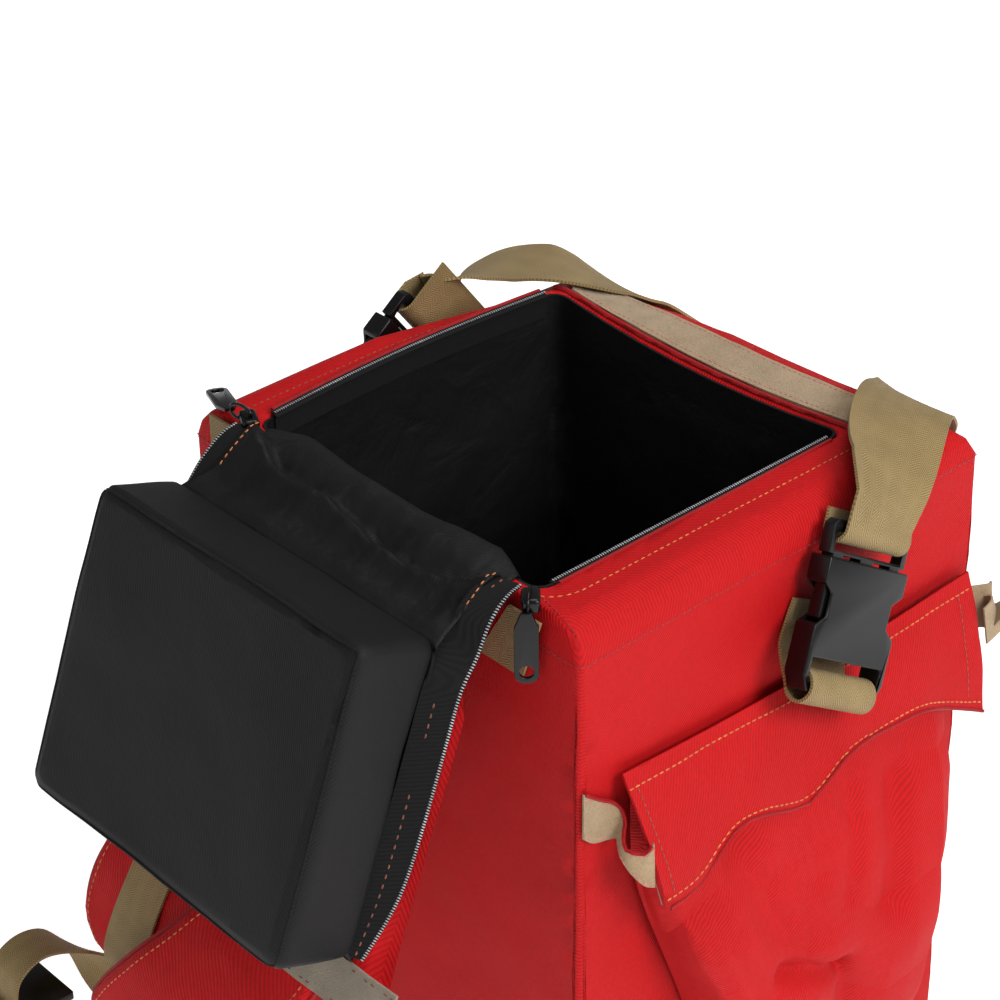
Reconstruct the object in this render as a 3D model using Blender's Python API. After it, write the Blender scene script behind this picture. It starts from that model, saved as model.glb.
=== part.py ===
"""Padded instrument backpack, standing open, its lid hanging over the harness wall.

Metres. X runs across the pack with the pocket on +X, Y from the harness wall to the front wall,
Z up. The origin is the centre of the base. Most tables are measured from the middle of the mouth.
"""

import math
from collections import namedtuple

import bmesh
import bpy
from mathutils import Matrix, Vector

# Driving dimensions
BODY_W = 0.287
BODY_D = 0.280
BODY_H = 0.470
MOUTH = 0.210
BACK_RIM = 0.010
FLOOR = 0.030
CORNER_R = 0.004
MOUTH_R = 0.010
WALL_BULGE = 0.003
MOUTH_BOW = 0.005
FRONT_SAG = 0.008
FAR_DROOP = 0.024
NEAR_DROOP = 0.003

PAD_W = 0.195
PAD_H = 0.163
PAD_T = 0.0495
LID_TILT = math.radians(21.2)
LID_OUT = 0.159
LID_DROP = 0.006
LID_T = 0.0125
LID_LONG = 0.196

WEB = 0.050
WEB_T = 0.0016
CLOTH = 0.0015
TAPE_T = 0.001
STRAP_T = 0.012
STRAP_WEB = 0.030
ADJUST_WEB = 0.025

BUCKLE_W = 0.062
BUCKLE_T = 0.013
SOCKET_L = 0.066
PULL_L = 0.038
PULL_W = 0.0115
PULL_T = 0.002

# Clearance between neighbouring pieces
GAP = 0.0003

CORNER_STEPS = 4
SIDE_STEPS = 7

MOUTH_Y = -BODY_D / 2 + BACK_RIM + MOUTH / 2
RED = (0.62, 0.02, 0.03, 1.0)
BLACK = (0.02, 0.02, 0.022, 1.0)
TAN = (0.42, 0.31, 0.16, 1.0)
PLASTIC = (0.03, 0.03, 0.033, 1.0)
METAL = (0.10, 0.10, 0.11, 1.0)


def clear_scene():
    for item in list(bpy.data.objects):
        bpy.data.objects.remove(item, do_unlink=True)


def material(name, colour, roughness, metallic=0.0):
    made = bpy.data.materials.new(name)
    made.use_nodes = True
    shader = made.node_tree.nodes["Principled BSDF"]
    shader.inputs["Base Color"].default_value = colour
    shader.inputs["Roughness"].default_value = roughness
    shader.inputs["Metallic"].default_value = metallic
    return made


def rim(x, y, z):
    """A point measured from the middle of the mouth."""
    return Vector((x, MOUTH_Y + y, BODY_H + z))


def lid(x, down, out):
    """A point in the hanging lid: down along the pad's back face, out from it."""
    sin, cos = math.sin(LID_TILT), math.cos(LID_TILT)
    return rim(x, -LID_OUT - down * sin - out * cos, -LID_DROP - down * cos + out * sin)


def mix(a, b, share):
    return a + (b - a) * share


def node(name, verts, faces, look, round_piece=True):
    """One closed mesh object, faces turned outward."""
    mesh = bpy.data.meshes.new(name)
    mesh.from_pydata([tuple(v) for v in verts], [], faces)
    work = bmesh.new()
    work.from_mesh(mesh)
    bmesh.ops.recalc_face_normals(work, faces=work.faces)
    work.to_mesh(mesh)
    work.free()
    if round_piece:
        mesh.shade_smooth()
        mesh.set_sharp_from_angle(angle=math.radians(40))
    mesh.materials.append(look)
    made = bpy.data.objects.new(name, mesh)
    bpy.context.scene.collection.objects.link(made)
    return made


def loft(name, rings, look, round_piece=True):
    """A closed body through rings of equal length, capped at both ends."""
    count = len(rings[0])
    verts = [p for ring in rings for p in ring]
    faces = []
    for row in range(len(rings) - 1):
        for step in range(count):
            after = (step + 1) % count
            low, high = row * count, (row + 1) * count
            faces.append((low + step, low + after, high + after, high + step))
    faces.append(tuple(reversed(range(count))))
    last = (len(rings) - 1) * count
    faces.append(tuple(range(last, last + count)))
    return node(name, verts, faces, look, round_piece)


def box_ring(x0, x1, y0, y1, radius, bulge=0.0):
    """A rounded rectangle as (x, y) pairs, its sides bowed outward by bulge.

    bulge is one number, or four for the +X, +Y, -X and -Y sides.
    """
    bulges = bulge if isinstance(bulge, tuple) else (bulge,) * 4
    corners = (
        (x1 - radius, y0 + radius, -90),
        (x1 - radius, y1 - radius, 0),
        (x0 + radius, y1 - radius, 90),
        (x0 + radius, y0 + radius, 180),
    )
    arcs = []
    for cx, cy, start in corners:
        turns = [math.radians(start + 90 * i / CORNER_STEPS) for i in range(CORNER_STEPS + 1)]
        arcs.append([(cx + radius * math.cos(t), cy + radius * math.sin(t)) for t in turns])
    pairs = []
    for index, arc in enumerate(arcs):
        pairs += arc
        ahead = arcs[(index + 1) % 4][0]
        side = math.radians(corners[index][2] + 90)
        for step in range(1, SIDE_STEPS):
            share = step / SIDE_STEPS
            push = bulges[index] * math.sin(math.pi * share)
            x = mix(arc[-1][0], ahead[0], share) + push * math.cos(side)
            y = mix(arc[-1][1], ahead[1], share) + push * math.sin(side)
            pairs.append((x, y))
    return pairs


def spline(rows, steps):
    """Catmull-Rom values between table rows, each row a tuple of numbers."""
    out = []
    for i in range(len(rows) - 1):
        a = rows[max(i - 1, 0)]
        b = rows[i]
        c = rows[i + 1]
        d = rows[min(i + 2, len(rows) - 1)]
        for k in range(steps):
            t = k / steps
            value = []
            for p, q, r, s in zip(a, b, c, d):
                curve = 2 * p - 5 * q + 4 * r - s
                end = 3 * q - p - 3 * r + s
                value.append(0.5 * (2 * q + (r - p) * t + curve * t * t + end * t ** 3))
            out.append(tuple(value))
    out.append(tuple(rows[-1]))
    return out


SQUARE = ((-1, -1), (1, -1), (1, 1), (-1, 1))
PADDED = ((-1, 0), (-0.92, -0.8), (-0.4, -1), (0.4, -1), (0.92, -0.8),
          (1, 0), (0.92, 0.8), (0.4, 1), (-0.4, 1), (-0.92, 0.8))


def band(name, places, faces_to, width, thick, look, profile=SQUARE):
    """A strap swept along places, its face turned toward faces_to at each one.

    width and thick are numbers or lists with one value for each place.
    """
    count = len(places)
    widths = width if isinstance(width, list) else [width] * count
    thicks = thick if isinstance(thick, list) else [thick] * count
    rings = []
    for i, place in enumerate(places):
        ahead = places[min(i + 1, count - 1)] - places[max(i - 1, 0)]
        across = ahead.cross(faces_to[i]).normalized()
        outward = across.cross(ahead).normalized()
        half_w, half_t = widths[i] / 2, thicks[i] / 2
        rings.append([place + across * u * half_w + outward * v * half_t for u, v in profile])
    return loft(name, rings, look)


def table_band(name, table, steps, width, thick, look, profile=SQUARE):
    """A band whose table has x, y, z from the mouth and the direction its face turns to."""
    rows = spline([tuple(row) for row in table], steps)
    places = [rim(row[0], row[1], row[2]) for row in rows]
    faces_to = [Vector(row[3:6]) for row in rows]
    return band(name, places, faces_to, width, thick, look, profile)


def sheet(name, grid, thick, look):
    """A cloth sheet with the grid of points on its outer face."""
    rows, cols = len(grid), len(grid[0])
    outer, inner = [], []
    for i in range(rows):
        for j in range(cols):
            along = grid[min(i + 1, rows - 1)][j] - grid[max(i - 1, 0)][j]
            across = grid[i][min(j + 1, cols - 1)] - grid[i][max(j - 1, 0)]
            outer.append(grid[i][j])
            inner.append(grid[i][j] - along.cross(across).normalized() * thick)
    total = rows * cols
    faces = []
    for i in range(rows - 1):
        for j in range(cols - 1):
            a, b = i * cols + j, i * cols + j + 1
            c, d = b + cols, a + cols
            faces.append((a, d, c, b))
            faces.append((a + total, b + total, c + total, d + total))
    border = [j for j in range(cols)]
    border += [i * cols + cols - 1 for i in range(1, rows)]
    border += [(rows - 1) * cols + j for j in range(cols - 2, -1, -1)]
    border += [i * cols for i in range(rows - 2, 0, -1)]
    for k, a in enumerate(border):
        b = border[(k + 1) % len(border)]
        faces.append((a, b, b + total, a + total))
    return node(name, outer + inner, faces, look)


def strip(name, edge_a, edge_b, thick, look):
    """A flat strip between two edges of equal length, thick about its middle."""
    rings = []
    count = len(edge_a)
    for i in range(count):
        ahead = edge_a[min(i + 1, count - 1)] - edge_a[max(i - 1, 0)]
        up = (edge_b[i] - edge_a[i]).cross(ahead).normalized() * thick / 2
        rings.append([edge_a[i] - up, edge_b[i] - up, edge_b[i] + up, edge_a[i] + up])
    return loft(name, rings, look)


def block(name, size, frame, look, centre=(0, 0, 0)):
    """A plain block with its corners placed through frame."""
    half = Vector(size) / 2
    middle = Vector(centre)
    rings = []
    for z in (-half.z, half.z):
        ring = [Vector((sx * half.x, sy * half.y, z)) for sx, sy in SQUARE]
        rings.append([frame @ (middle + p) for p in ring])
    return loft(name, rings, look, round_piece=False)


def prism(name, outline, low, high, frame, look):
    """An outline of (x, y) pairs raised from low to high and placed through frame."""
    rings = [[frame @ Vector((x, y, z)) for x, y in outline] for z in (low, high)]
    return loft(name, rings, look, round_piece=False)


def cut(target, cutter):
    """Takes cutter out of target."""
    cutter.hide_render = True
    cutter.display_type = "WIRE"
    cutter.data.materials.clear()
    step = target.modifiers.new("cut", "BOOLEAN")
    step.operation = "DIFFERENCE"
    step.solver = "EXACT"
    step.object = cutter


def axes(place, across, down):
    """A frame whose X is across, Y is against down and Z is the outward face."""
    x = Vector(across).normalized()
    y = -Vector(down)
    y = (y - x * y.dot(x)).normalized()
    z = x.cross(y)
    turned = Matrix((x, y, z)).transposed().to_4x4()
    return Matrix.Translation(place) @ turned


# Body

Wall = namedtuple("Wall", "height share")
BASE_ROWS = (Wall(0.0, -0.36), Wall(0.004, -0.12), Wall(0.012, 0.0))
BASE_INSET = 0.0385
SHOULDER_ROWS = (
    Wall(0.018, 0.0), Wall(0.010, 0.07), Wall(0.004, 0.20), Wall(0.001, 0.34),
    Wall(0.0, 0.42), Wall(0.0, 0.60), Wall(0.0, 0.78), Wall(0.0, 0.90), Wall(0.0, 0.97),
    Wall(0.002, 1.0),
)
WALL_SHARES = (0.2, 0.45, 0.7, 0.9)


def rim_sag(x, y, share):
    """How far the rim hangs below its level: the front sags, its two corners droop outside."""
    front = min(max((y - MOUTH_Y) / (MOUTH / 2), 0.0), 1.0)
    side = min(max(x / (MOUTH / 2), -1.0), 1.0)
    outer = 1 - share
    corner = FAR_DROOP * max(-side, 0.0) ** 2 + NEAR_DROOP * max(side, 0.0) ** 2
    return front * (FRONT_SAG * (1 - side * side) + corner * outer)


def body_ring(height, share, bulge=0.0, sag=0.0):
    """A ring of the body: share 0 is the outer face, 1 the mouth's edge."""
    x = mix(BODY_W / 2, MOUTH / 2, share)
    back = mix(-BODY_D / 2, MOUTH_Y - MOUTH / 2, share)
    front = mix(BODY_D / 2, MOUTH_Y + MOUTH / 2, share)
    radius = mix(CORNER_R, MOUTH_R, share)
    bows = (bulge, bulge, bulge + share * MOUTH_BOW, bulge)
    pairs = box_ring(-x, x, back, front, radius, bows)
    return [Vector((px, py, height - sag * rim_sag(px, py, share))) for px, py in pairs]


def base_ring(row):
    inset = -row.share * BASE_INSET
    x, y = BODY_W / 2 - inset, BODY_D / 2 - inset
    return [Vector((px, py, row.height)) for px, py in box_ring(-x, x, -y, y, CORNER_R)]


def make_body(red):
    rings = [base_ring(row) for row in BASE_ROWS]
    low, high = BASE_ROWS[-1].height, BODY_H - SHOULDER_ROWS[0].height
    for share in WALL_SHARES:
        bulge = WALL_BULGE * math.sin(math.pi * share)
        rings.append(body_ring(mix(low, high, share), 0.0, bulge, share ** 4))
    rings += [body_ring(BODY_H - row.height, row.share, sag=1.0) for row in SHOULDER_ROWS]
    rings.append(body_ring(FLOOR, 1.0))
    loft("body_shell", rings, red)


LINING_SHARES = (0.0, 0.2, 0.4, 0.6, 0.75, 0.87, 0.97, 1.0)
LINING_RIPPLE = 0.0025
LINING_DROP = 0.0005


def lining_ring(height, inset, ripple):
    half = MOUTH / 2 - inset
    bows = (0.0, 0.0, MOUTH_BOW, 0.0)
    pairs = box_ring(-half, half, MOUTH_Y - half, MOUTH_Y + half, MOUTH_R - inset, bows)
    ring = []
    for step, (x, y) in enumerate(pairs):
        push = ripple * (0.5 + 0.5 * math.sin(step * 2.1 + height * 60))
        reach = 1 - push / half
        level = height - (rim_sag(x, y, 1.0) if height > BODY_H - 0.02 else 0.0)
        ring.append(Vector((x * reach, MOUTH_Y + (y - MOUTH_Y) * reach, level)))
    return ring


def make_lining(black):
    bottom, top = FLOOR + GAP, BODY_H - LINING_DROP
    ripples = [LINING_RIPPLE * math.sin(math.pi * min(s / 0.87, 1.0)) for s in LINING_SHARES]
    outside = []
    inside = []
    for share, ripple in zip(LINING_SHARES, ripples):
        outside.append(lining_ring(mix(bottom, top, share), GAP, ripple))
        inside.append(lining_ring(mix(bottom + CLOTH, top, share), GAP + CLOTH, ripple))
    loft("body_lining", outside + inside[::-1], black)


LOOP_IN = 0.0065
LOOP_W = 0.0275
LOOP_LIFT = 0.0018
FRONT_RIM = BODY_D / 2 - MOUTH_Y - MOUTH / 2
FRONT_FIRST = 2 * CORNER_STEPS + SIDE_STEPS


def front_edge(inset):
    """The row of points along the front rim, inset from the mouth's edge."""
    ring = body_ring(BODY_H + LOOP_LIFT + TAPE_T / 2, 1 - inset / FRONT_RIM, sag=1.0)
    return ring[FRONT_FIRST:FRONT_FIRST + SIDE_STEPS + 1]


def make_rim_strips(tan, black):
    edges = [front_edge(LOOP_IN + LOOP_W * share) for share in (0.0, 0.35, 0.7, 1.0)]
    sheet("rim_loop_strip", edges, TAPE_T, tan)
    across = MOUTH / 2 - GAP - CLOTH - GAP - TAPE_T / 2
    reach = MOUTH / 2 - MOUTH_R - 0.001
    ys = [mix(-reach, reach, i / 8) for i in range(9)]
    for name, side, top in (("body_zip_near", 1, -0.001), ("body_zip_far", -1, 0.0015)):
        bow = MOUTH_BOW if side < 0 else 0.0
        xs = [side * (across + bow * math.sin(math.pi * (y / MOUTH * 1.08 + 0.5))) for y in ys]
        upper = [rim(x, y, top) for x, y in zip(xs, ys)]
        lower = [rim(x, y, top - 0.014) for x, y in zip(xs, ys)]
        strip(name, upper, lower, TAPE_T, black)


# Lid

Hinge = namedtuple("Hinge", "y z half fold")
LINING_ROWS = (
    Hinge(-0.1012, -0.045, 0.088, 0.0),
    Hinge(-0.1012, -0.014, 0.088, 0.0),
    Hinge(-0.1014, 0.001, 0.089, 0.0),
    Hinge(-0.1062, 0.0070, 0.091, 0.001),
    Hinge(-0.1160, 0.0085, 0.091, 0.002),
    Hinge(-0.1260, 0.0050, 0.090, 0.003),
    Hinge(-0.1350, -0.0015, 0.091, 0.003),
    Hinge(-0.1430, -0.0060, 0.092, 0.002),
    Hinge(-0.1510, -0.0065, 0.094, 0.001),
)
LINING_OUT = -0.0006
LINING_HALF = 0.0962
LINING_DOWN = (0.003, 0.02, 0.06, 0.11, 0.165)
LID_COLS = 20


def fold_wave(x, turn):
    return math.sin(x * 95 + turn) * 0.6 + math.sin(x * 213 + 1.7 * turn) * 0.4


def make_lid_lining(black):
    grid = []
    for index, row in enumerate(spline([tuple(r) for r in LINING_ROWS], 2)):
        y, z, half, fold = row
        line = []
        for step in range(LID_COLS + 1):
            x = mix(-half, half, step / LID_COLS)
            line.append(rim(x, y, z + fold * fold_wave(x, index * 0.35)))
        grid.append(line)
    for down in LINING_DOWN:
        xs = [mix(-LINING_HALF, LINING_HALF, step / LID_COLS) for step in range(LID_COLS + 1)]
        grid.append([lid(x, down, LINING_OUT) for x in xs])
    sheet("lid_lining", grid, CLOTH, black)


Panel = namedtuple("Panel", "y z thick wide")
HINGE_ROWS = (
    Panel(-0.1160, -0.0075, 0.0020, 0.82),
    Panel(-0.1260, -0.0105, 0.0025, 0.82),
    Panel(-0.1360, -0.0165, 0.0040, 0.86),
)
Slab = namedtuple("Slab", "down thick wide")
SLAB_ROWS = (
    Slab(0.016, 0.80, 0.94), Slab(0.034, 1.0, 1.0), Slab(0.080, 1.0, 1.0), Slab(0.130, 1.0, 1.0),
    Slab(0.180, 1.0, 1.0), Slab(0.190, 0.8, 0.99), Slab(LID_LONG, 0.3, 0.97),
)
SLAB_OUT = -0.0100
# Half section of the lid panel: across in metres, through as a share of half its thickness
SLAB_FRONT_HALF = 0.0985
SLAB_TAPE_HALF = 0.1060
SLAB_HEM_HALF = 0.1115
SLAB_TAPE_DEPTH = -0.55
SLAB_HEM_DEPTH = -0.82


def slab_profile():
    right = (
        (SLAB_FRONT_HALF, 1.0), (SLAB_TAPE_HALF, SLAB_TAPE_DEPTH),
        (SLAB_HEM_HALF, SLAB_HEM_DEPTH), (SLAB_HEM_HALF - 0.002, -1.0),
    )
    left = tuple((-x, v) for x, v in reversed(right))
    inner = tuple((x * 0.5, 1.0) for x in (-SLAB_FRONT_HALF, 0.0, SLAB_FRONT_HALF))
    return left[-1:] + inner + right + left[:-1]


def make_lid_shell(red):
    middle, thick, wide = [], [], []
    for row in HINGE_ROWS:
        middle.append((row.y, row.z))
        thick.append(row.thick)
        wide.append(row.wide)
    for row in SLAB_ROWS:
        spot = lid(0, row.down, SLAB_OUT) - rim(0, 0, 0)
        middle.append((spot.y, spot.z))
        thick.append(row.thick * LID_T)
        wide.append(row.wide)
    rings = []
    for i, (y, z) in enumerate(middle):
        before = middle[max(i - 1, 0)]
        after = middle[min(i + 1, len(middle) - 1)]
        along = Vector((0, after[0] - before[0], after[1] - before[1])).normalized()
        out = Vector((1, 0, 0)).cross(along)
        ring = []
        for x, through in slab_profile():
            ring.append(rim(x * wide[i], y, z) - out * through * thick[i] / 2)
        rings.append(ring)
    loft("lid_shell", rings, red)


PadRow = namedtuple("PadRow", "out inset bulge")
PAD_ROWS = (
    PadRow(0.0, 0.005, 0.0), PadRow(0.002, 0.0015, 0.0005), PadRow(0.006, 0.0, 0.001),
    PadRow(PAD_T * 0.5, 0.0, 0.002), PadRow(PAD_T - 0.006, 0.0, 0.001),
    PadRow(PAD_T - 0.0015, 0.002, 0.0005), PadRow(PAD_T, 0.006, 0.0),
)
PAD_R = 0.006


def make_pad(black):
    rings = []
    for row in PAD_ROWS:
        half = PAD_W / 2 - row.inset
        pairs = box_ring(-half, half, row.inset, PAD_H - row.inset, PAD_R, row.bulge)
        rings.append([lid(x, down, row.out) for x, down in pairs])
    loft("lid_pad", rings, black)


Edge = namedtuple("Edge", "teeth_x teeth_y teeth_z in_x in_y in_z")
TAPE_ROWS = (
    Edge(0.1030, -0.1230, 0.0020, 0.0925, -0.1300, 0.0070),
    Edge(0.1045, -0.1340, -0.0050, 0.0940, -0.1400, 0.0010),
    Edge(0.1060, -0.1430, -0.0180, 0.0960, -0.1500, -0.0080),
)
TAPE_DOWN = (0.022, 0.05, 0.09, 0.12, 0.14, PAD_H)
TAPE_STRAIGHT = 0.10
TAPE_CURL = 0.75
TAPE_TEETH = (0.1080, -0.0126)
TAPE_INNER = (0.0988, -0.0012)


def make_lid_tapes(black):
    for name, side in (("lid_zip_near", 1), ("lid_zip_far", -1)):
        teeth = [rim(side * row.teeth_x, row.teeth_y, row.teeth_z) for row in TAPE_ROWS]
        inner = [rim(side * row.in_x, row.in_y, row.in_z) for row in TAPE_ROWS]
        for down in TAPE_DOWN:
            curl = TAPE_CURL * max(0.0, (down - TAPE_STRAIGHT) / (PAD_H - TAPE_STRAIGHT)) ** 2
            across, out = (mix(a, b, curl) for a, b in zip(TAPE_TEETH, TAPE_INNER))
            teeth.append(lid(side * across, down, out))
            inner.append(lid(side * TAPE_INNER[0], down, TAPE_INNER[1]))
        strip(name, teeth, inner, TAPE_T, black)


HOOK_HALF = 0.128
HOOK_TOP = 0.1668
HOOK_W = 0.026
HOOK_OUT = -0.0026


def make_hook_strip(tan):
    xs = [mix(-HOOK_HALF, HOOK_HALF, i / 12) for i in range(13)]
    upper = [lid(x, HOOK_TOP, HOOK_OUT) for x in xs]
    lower = [lid(x, HOOK_TOP + HOOK_W, HOOK_OUT) for x in xs]
    strip("lid_hook_strip", upper, lower, WEB_T, tan)


# Zip sliders, pulls and tabs

SLIDER = (0.009, 0.013, 0.0080)
PULL_HOLE_R = 0.0035
PULL_HOLE_UP = 0.0062
PULL_ROUND = 0.0045
PULL_NECK = 0.0025
PULL_SHOULDER = 0.008
PULL_TOP = 0.0007
Pull = namedtuple("Pull", "name pin across down slider slider_down")
PULLS = (
    Pull("near", (0.1170, -0.1235, 0.0025), (0.67, 0.74, 0.0), (-0.158, -0.174, -0.970),
         (0.1125, -0.1165, 0.0046), (0.67, -0.74, 0.0)),
    Pull("far", (-0.1105, -0.1160, 0.0105), (-0.43, -0.89, 0.02), (-0.87, 0.42, -0.24),
         (-0.1000, -0.1120, 0.0060), (-0.90, -0.20, 0.10)),
)


def pull_outline():
    """A tab hanging from its pin, narrow at the top and round at the bottom."""
    half = PULL_W / 2
    points = [(-PULL_NECK, PULL_TOP), (-half, -PULL_SHOULDER)]
    for centre, start in ((-half + PULL_ROUND, 180), (half - PULL_ROUND, 270)):
        for step in range(4):
            turn = math.radians(start + 90 * step / 3)
            x = centre + PULL_ROUND * math.cos(turn)
            points.append((x, -PULL_L + PULL_ROUND + PULL_ROUND * math.sin(turn)))
    return points + [(half, -PULL_SHOULDER), (PULL_NECK, PULL_TOP)]


def circle(radius, x, y, count=12):
    turns = [2 * math.pi * i / count for i in range(count)]
    return [(x + radius * math.cos(turn), y + radius * math.sin(turn)) for turn in turns]


def make_pulls(metal, plastic):
    outline = pull_outline()
    hole = circle(PULL_HOLE_R, 0.0, PULL_HOLE_UP - PULL_L)
    for row in PULLS:
        seat = axes(rim(*row.slider), row.across, row.slider_down)
        block("zip_slider_" + row.name, SLIDER, seat, metal)
        turned = axes((0, 0, 0), row.across, row.down)
        made = prism("zip_pull_" + row.name, outline, -PULL_T / 2, PULL_T / 2, turned, plastic)
        made.location = rim(*row.pin)
        through = prism("hole_" + row.name, hole, -PULL_T * 2, PULL_T * 2, turned, plastic)
        through.location = made.location
        cut(made, through)


# Tan tabs below the sliders, each between a left and a right edge
Tab = namedtuple("Tab", "name left low_left right low_right top bottom")
TABS = (
    Tab("near", 0.098, 0.0770, 0.1195, 0.1070, -0.005, -0.041),
    Tab("far", -0.1265, -0.1265, -0.1020, -0.1020, 0.001, -0.022),
)
TAB_STEPS = 4


def make_zip_tabs(tan):
    y = -MOUTH / 2 - BACK_RIM - WALL_BULGE * 0.2 - GAP - WEB_T / 2
    for row in TABS:
        left, right = [], []
        for step in range(TAB_STEPS + 1):
            share = step / TAB_STEPS
            z = mix(row.top, row.bottom, share)
            left.append(rim(mix(row.left, row.low_left, share), y, z))
            right.append(rim(mix(row.right, row.low_right, share), y, z))
        strip("zip_tab_" + row.name, left, right, WEB_T, tan)


# Carry strap and buckles

Way = namedtuple("Way", "x y z face_x face_y face_z wide", defaults=(WEB,))
CARRY_WAY = (
    Way(-0.1646, 0.0649, -0.0166, -0.99, -0.11, 0.13),
    Way(-0.1642, 0.0733, -0.0118, -0.85, -0.08, 0.51),
    Way(-0.1596, 0.0824, -0.0056, -0.59, -0.04, 0.81),
    Way(-0.1519, 0.0942, -0.0020, -0.33, -0.01, 0.95),
    Way(-0.1414, 0.1071, 0.0008, -0.15, -0.01, 0.99),
    Way(-0.1255, 0.1206, 0.0022, 0.04, 0.16, 0.99),
    Way(-0.1131, 0.1361, -0.0049, 0.10, 0.40, 0.90),
    Way(-0.1040, 0.1520, -0.0160, 0.04, 0.64, 0.76),
    Way(-0.0900, 0.1660, -0.0330, -0.05, 0.88, 0.46),
    Way(-0.0600, 0.1760, -0.0540, -0.03, 0.98, 0.15),
    Way(-0.0150, 0.1780, -0.0700, 0.0, 1.0, 0.0),
    Way(0.0350, 0.1770, -0.0670, 0.0, 1.0, 0.0),
    Way(0.0780, 0.1765, -0.0480, 0.0, 1.0, 0.1),
    Way(0.0910, 0.1745, -0.0240, 0.0, 1.0, 0.30),
    Way(0.0990, 0.1665, -0.0110, 0.0, 0.75, 0.7),
    Way(0.1080, 0.1490, 0.0014, 0.1, 0.25, 1.0),
    Way(0.1200, 0.1290, 0.0048, 0.25, 0.05, 0.95),
    Way(0.1335, 0.1090, 0.0025, 0.50, 0.0, 0.85),
    Way(0.1470, 0.0910, -0.0025, 0.80, 0.05, 0.6),
)
LOOP_STEPS = 8

Buckle = namedtuple("Buckle", "name lead tail place across down")
BUCKLES = (
    Buckle("near", 0.0120, 0.0084, (0.1577, 0.0602, -0.0339), (0.09, 0.85, -0.52), (0.22, -0.51, -0.83)),
    Buckle("far", 0.0040, 0.0280, (-0.1565, 0.0422, -0.0310), (0.0, -0.60, 0.80), (0.0, -0.80, -0.60)),
)
NOTCH_TOP = -0.012
NOTCH_LOW = -0.034
NOTCH_IN = 0.007
SLOT_LOW = -0.061
SLOT_HIGH = -0.049
SLOT_HALF = 0.0265
CAVITY_T = 0.0085
PLUG_TOP = 0.0185
PLUG_SLOT = 0.009
PLUG_SLOT_UP = 0.008
PLUG_T = 0.007


def socket_outline():
    half = BUCKLE_W / 2
    right = (
        (half, 0.0), (half, NOTCH_TOP), (half - NOTCH_IN, NOTCH_TOP - 0.005),
        (half - NOTCH_IN, NOTCH_LOW + 0.005), (half, NOTCH_LOW), (half, SLOT_LOW + 0.004),
        (half - 0.005, -SOCKET_L),
    )
    return [(-x, y) for x, y in reversed(right)] + list(right)


def plug_outline():
    """Base bar, two side prongs and a middle tongue; the top is wide for the webbing."""
    half = BUCKLE_W / 2 - 0.001
    return [
        (-half, 0.0015), (-0.0265, 0.0015), (-0.0265, -0.030), (-0.022, -0.034), (-0.0185, -0.030),
        (-0.0185, 0.0015), (-0.005, 0.0015), (-0.005, -0.026), (0.005, -0.026), (0.005, 0.0015),
        (0.0185, 0.0015), (0.0185, -0.030), (0.022, -0.034), (0.0265, -0.030), (0.0265, 0.0015),
        (half, 0.0015), (half, 0.0155), (half - 0.003, PLUG_TOP), (-half + 0.003, PLUG_TOP),
        (-half, 0.0155),
    ]


def buckle_frame(row):
    return axes(rim(*row.place), row.across, row.down)


def make_buckles(plastic):
    for row in BUCKLES:
        frame = buckle_frame(row)
        half_t = BUCKLE_T / 2
        socket = prism(row.name + "_buckle_socket", socket_outline(), -half_t, half_t, frame, plastic)
        room = (BUCKLE_W - 0.0060, 0.036 + 0.010, CAVITY_T)
        cavity = block("cavity_" + row.name, room, frame, plastic, (0, -0.036 / 2 + 0.005, 0))
        cut(socket, cavity)
        size = (SLOT_HALF * 2, SLOT_HIGH - SLOT_LOW, BUCKLE_T * 2)
        middle = (0, (SLOT_HIGH + SLOT_LOW) / 2, 0)
        cut(socket, block("slot_" + row.name, size, frame, plastic, middle))
        plug = prism(row.name + "_buckle_plug", plug_outline(), -PLUG_T / 2, PLUG_T / 2, frame, plastic)
        opening = (SLOT_HALF * 2, PLUG_SLOT, BUCKLE_T * 2)
        cut(plug, block("plug_slot_" + row.name, opening, frame, plastic, (0, PLUG_SLOT_UP, 0)))


def wrap_rows(frame, centre_y, radius, start, end, steps):
    """Places and faces round a bar that lies across a buckle's frame."""
    places, faces_to = [], []
    for step in range(steps + 1):
        turn = math.radians(mix(start, end, step / steps))
        out = Vector((0, math.cos(turn), math.sin(turn)))
        places.append(frame @ (Vector((0, centre_y, 0)) + out * radius))
        faces_to.append(frame.to_3x3() @ out)
    return places, faces_to


BAR_WRAP = 0.0070
PLUG_BAR = 0.0150
ANCHOR_WRAP = 0.0082
ANCHOR_BAR = -0.0635
ANCHOR_TURNS = (-50, 250)
ANCHOR_STEPS = 12


def plug_loop(row):
    """The webbing's way down the plug's face, round its bar and up behind it."""
    frame = buckle_frame(row)
    turned = frame.to_3x3()
    places = [frame @ Vector((0, PLUG_BAR + row.lead, BAR_WRAP))]
    faces_to = [turned @ Vector((0, 0, 1))]
    loop, loop_faces = wrap_rows(frame, PLUG_BAR, BAR_WRAP, 90, 270, LOOP_STEPS)
    places += loop + [frame @ Vector((0, PLUG_BAR + row.tail, -BAR_WRAP))]
    faces_to += loop_faces + [turned @ Vector((0, 0, -1))]
    return places, faces_to


def make_carry_strap(tan):
    rows = spline([tuple(row) for row in CARRY_WAY], 3)
    near, near_faces = plug_loop(BUCKLES[0])
    far, far_faces = plug_loop(BUCKLES[1])
    places = far[::-1] + [rim(*row[:3]) for row in rows] + near
    faces_to = far_faces[::-1] + [Vector(row[3:6]) for row in rows] + near_faces
    band("carry_strap", places, faces_to, WEB, WEB_T, tan)


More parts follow.
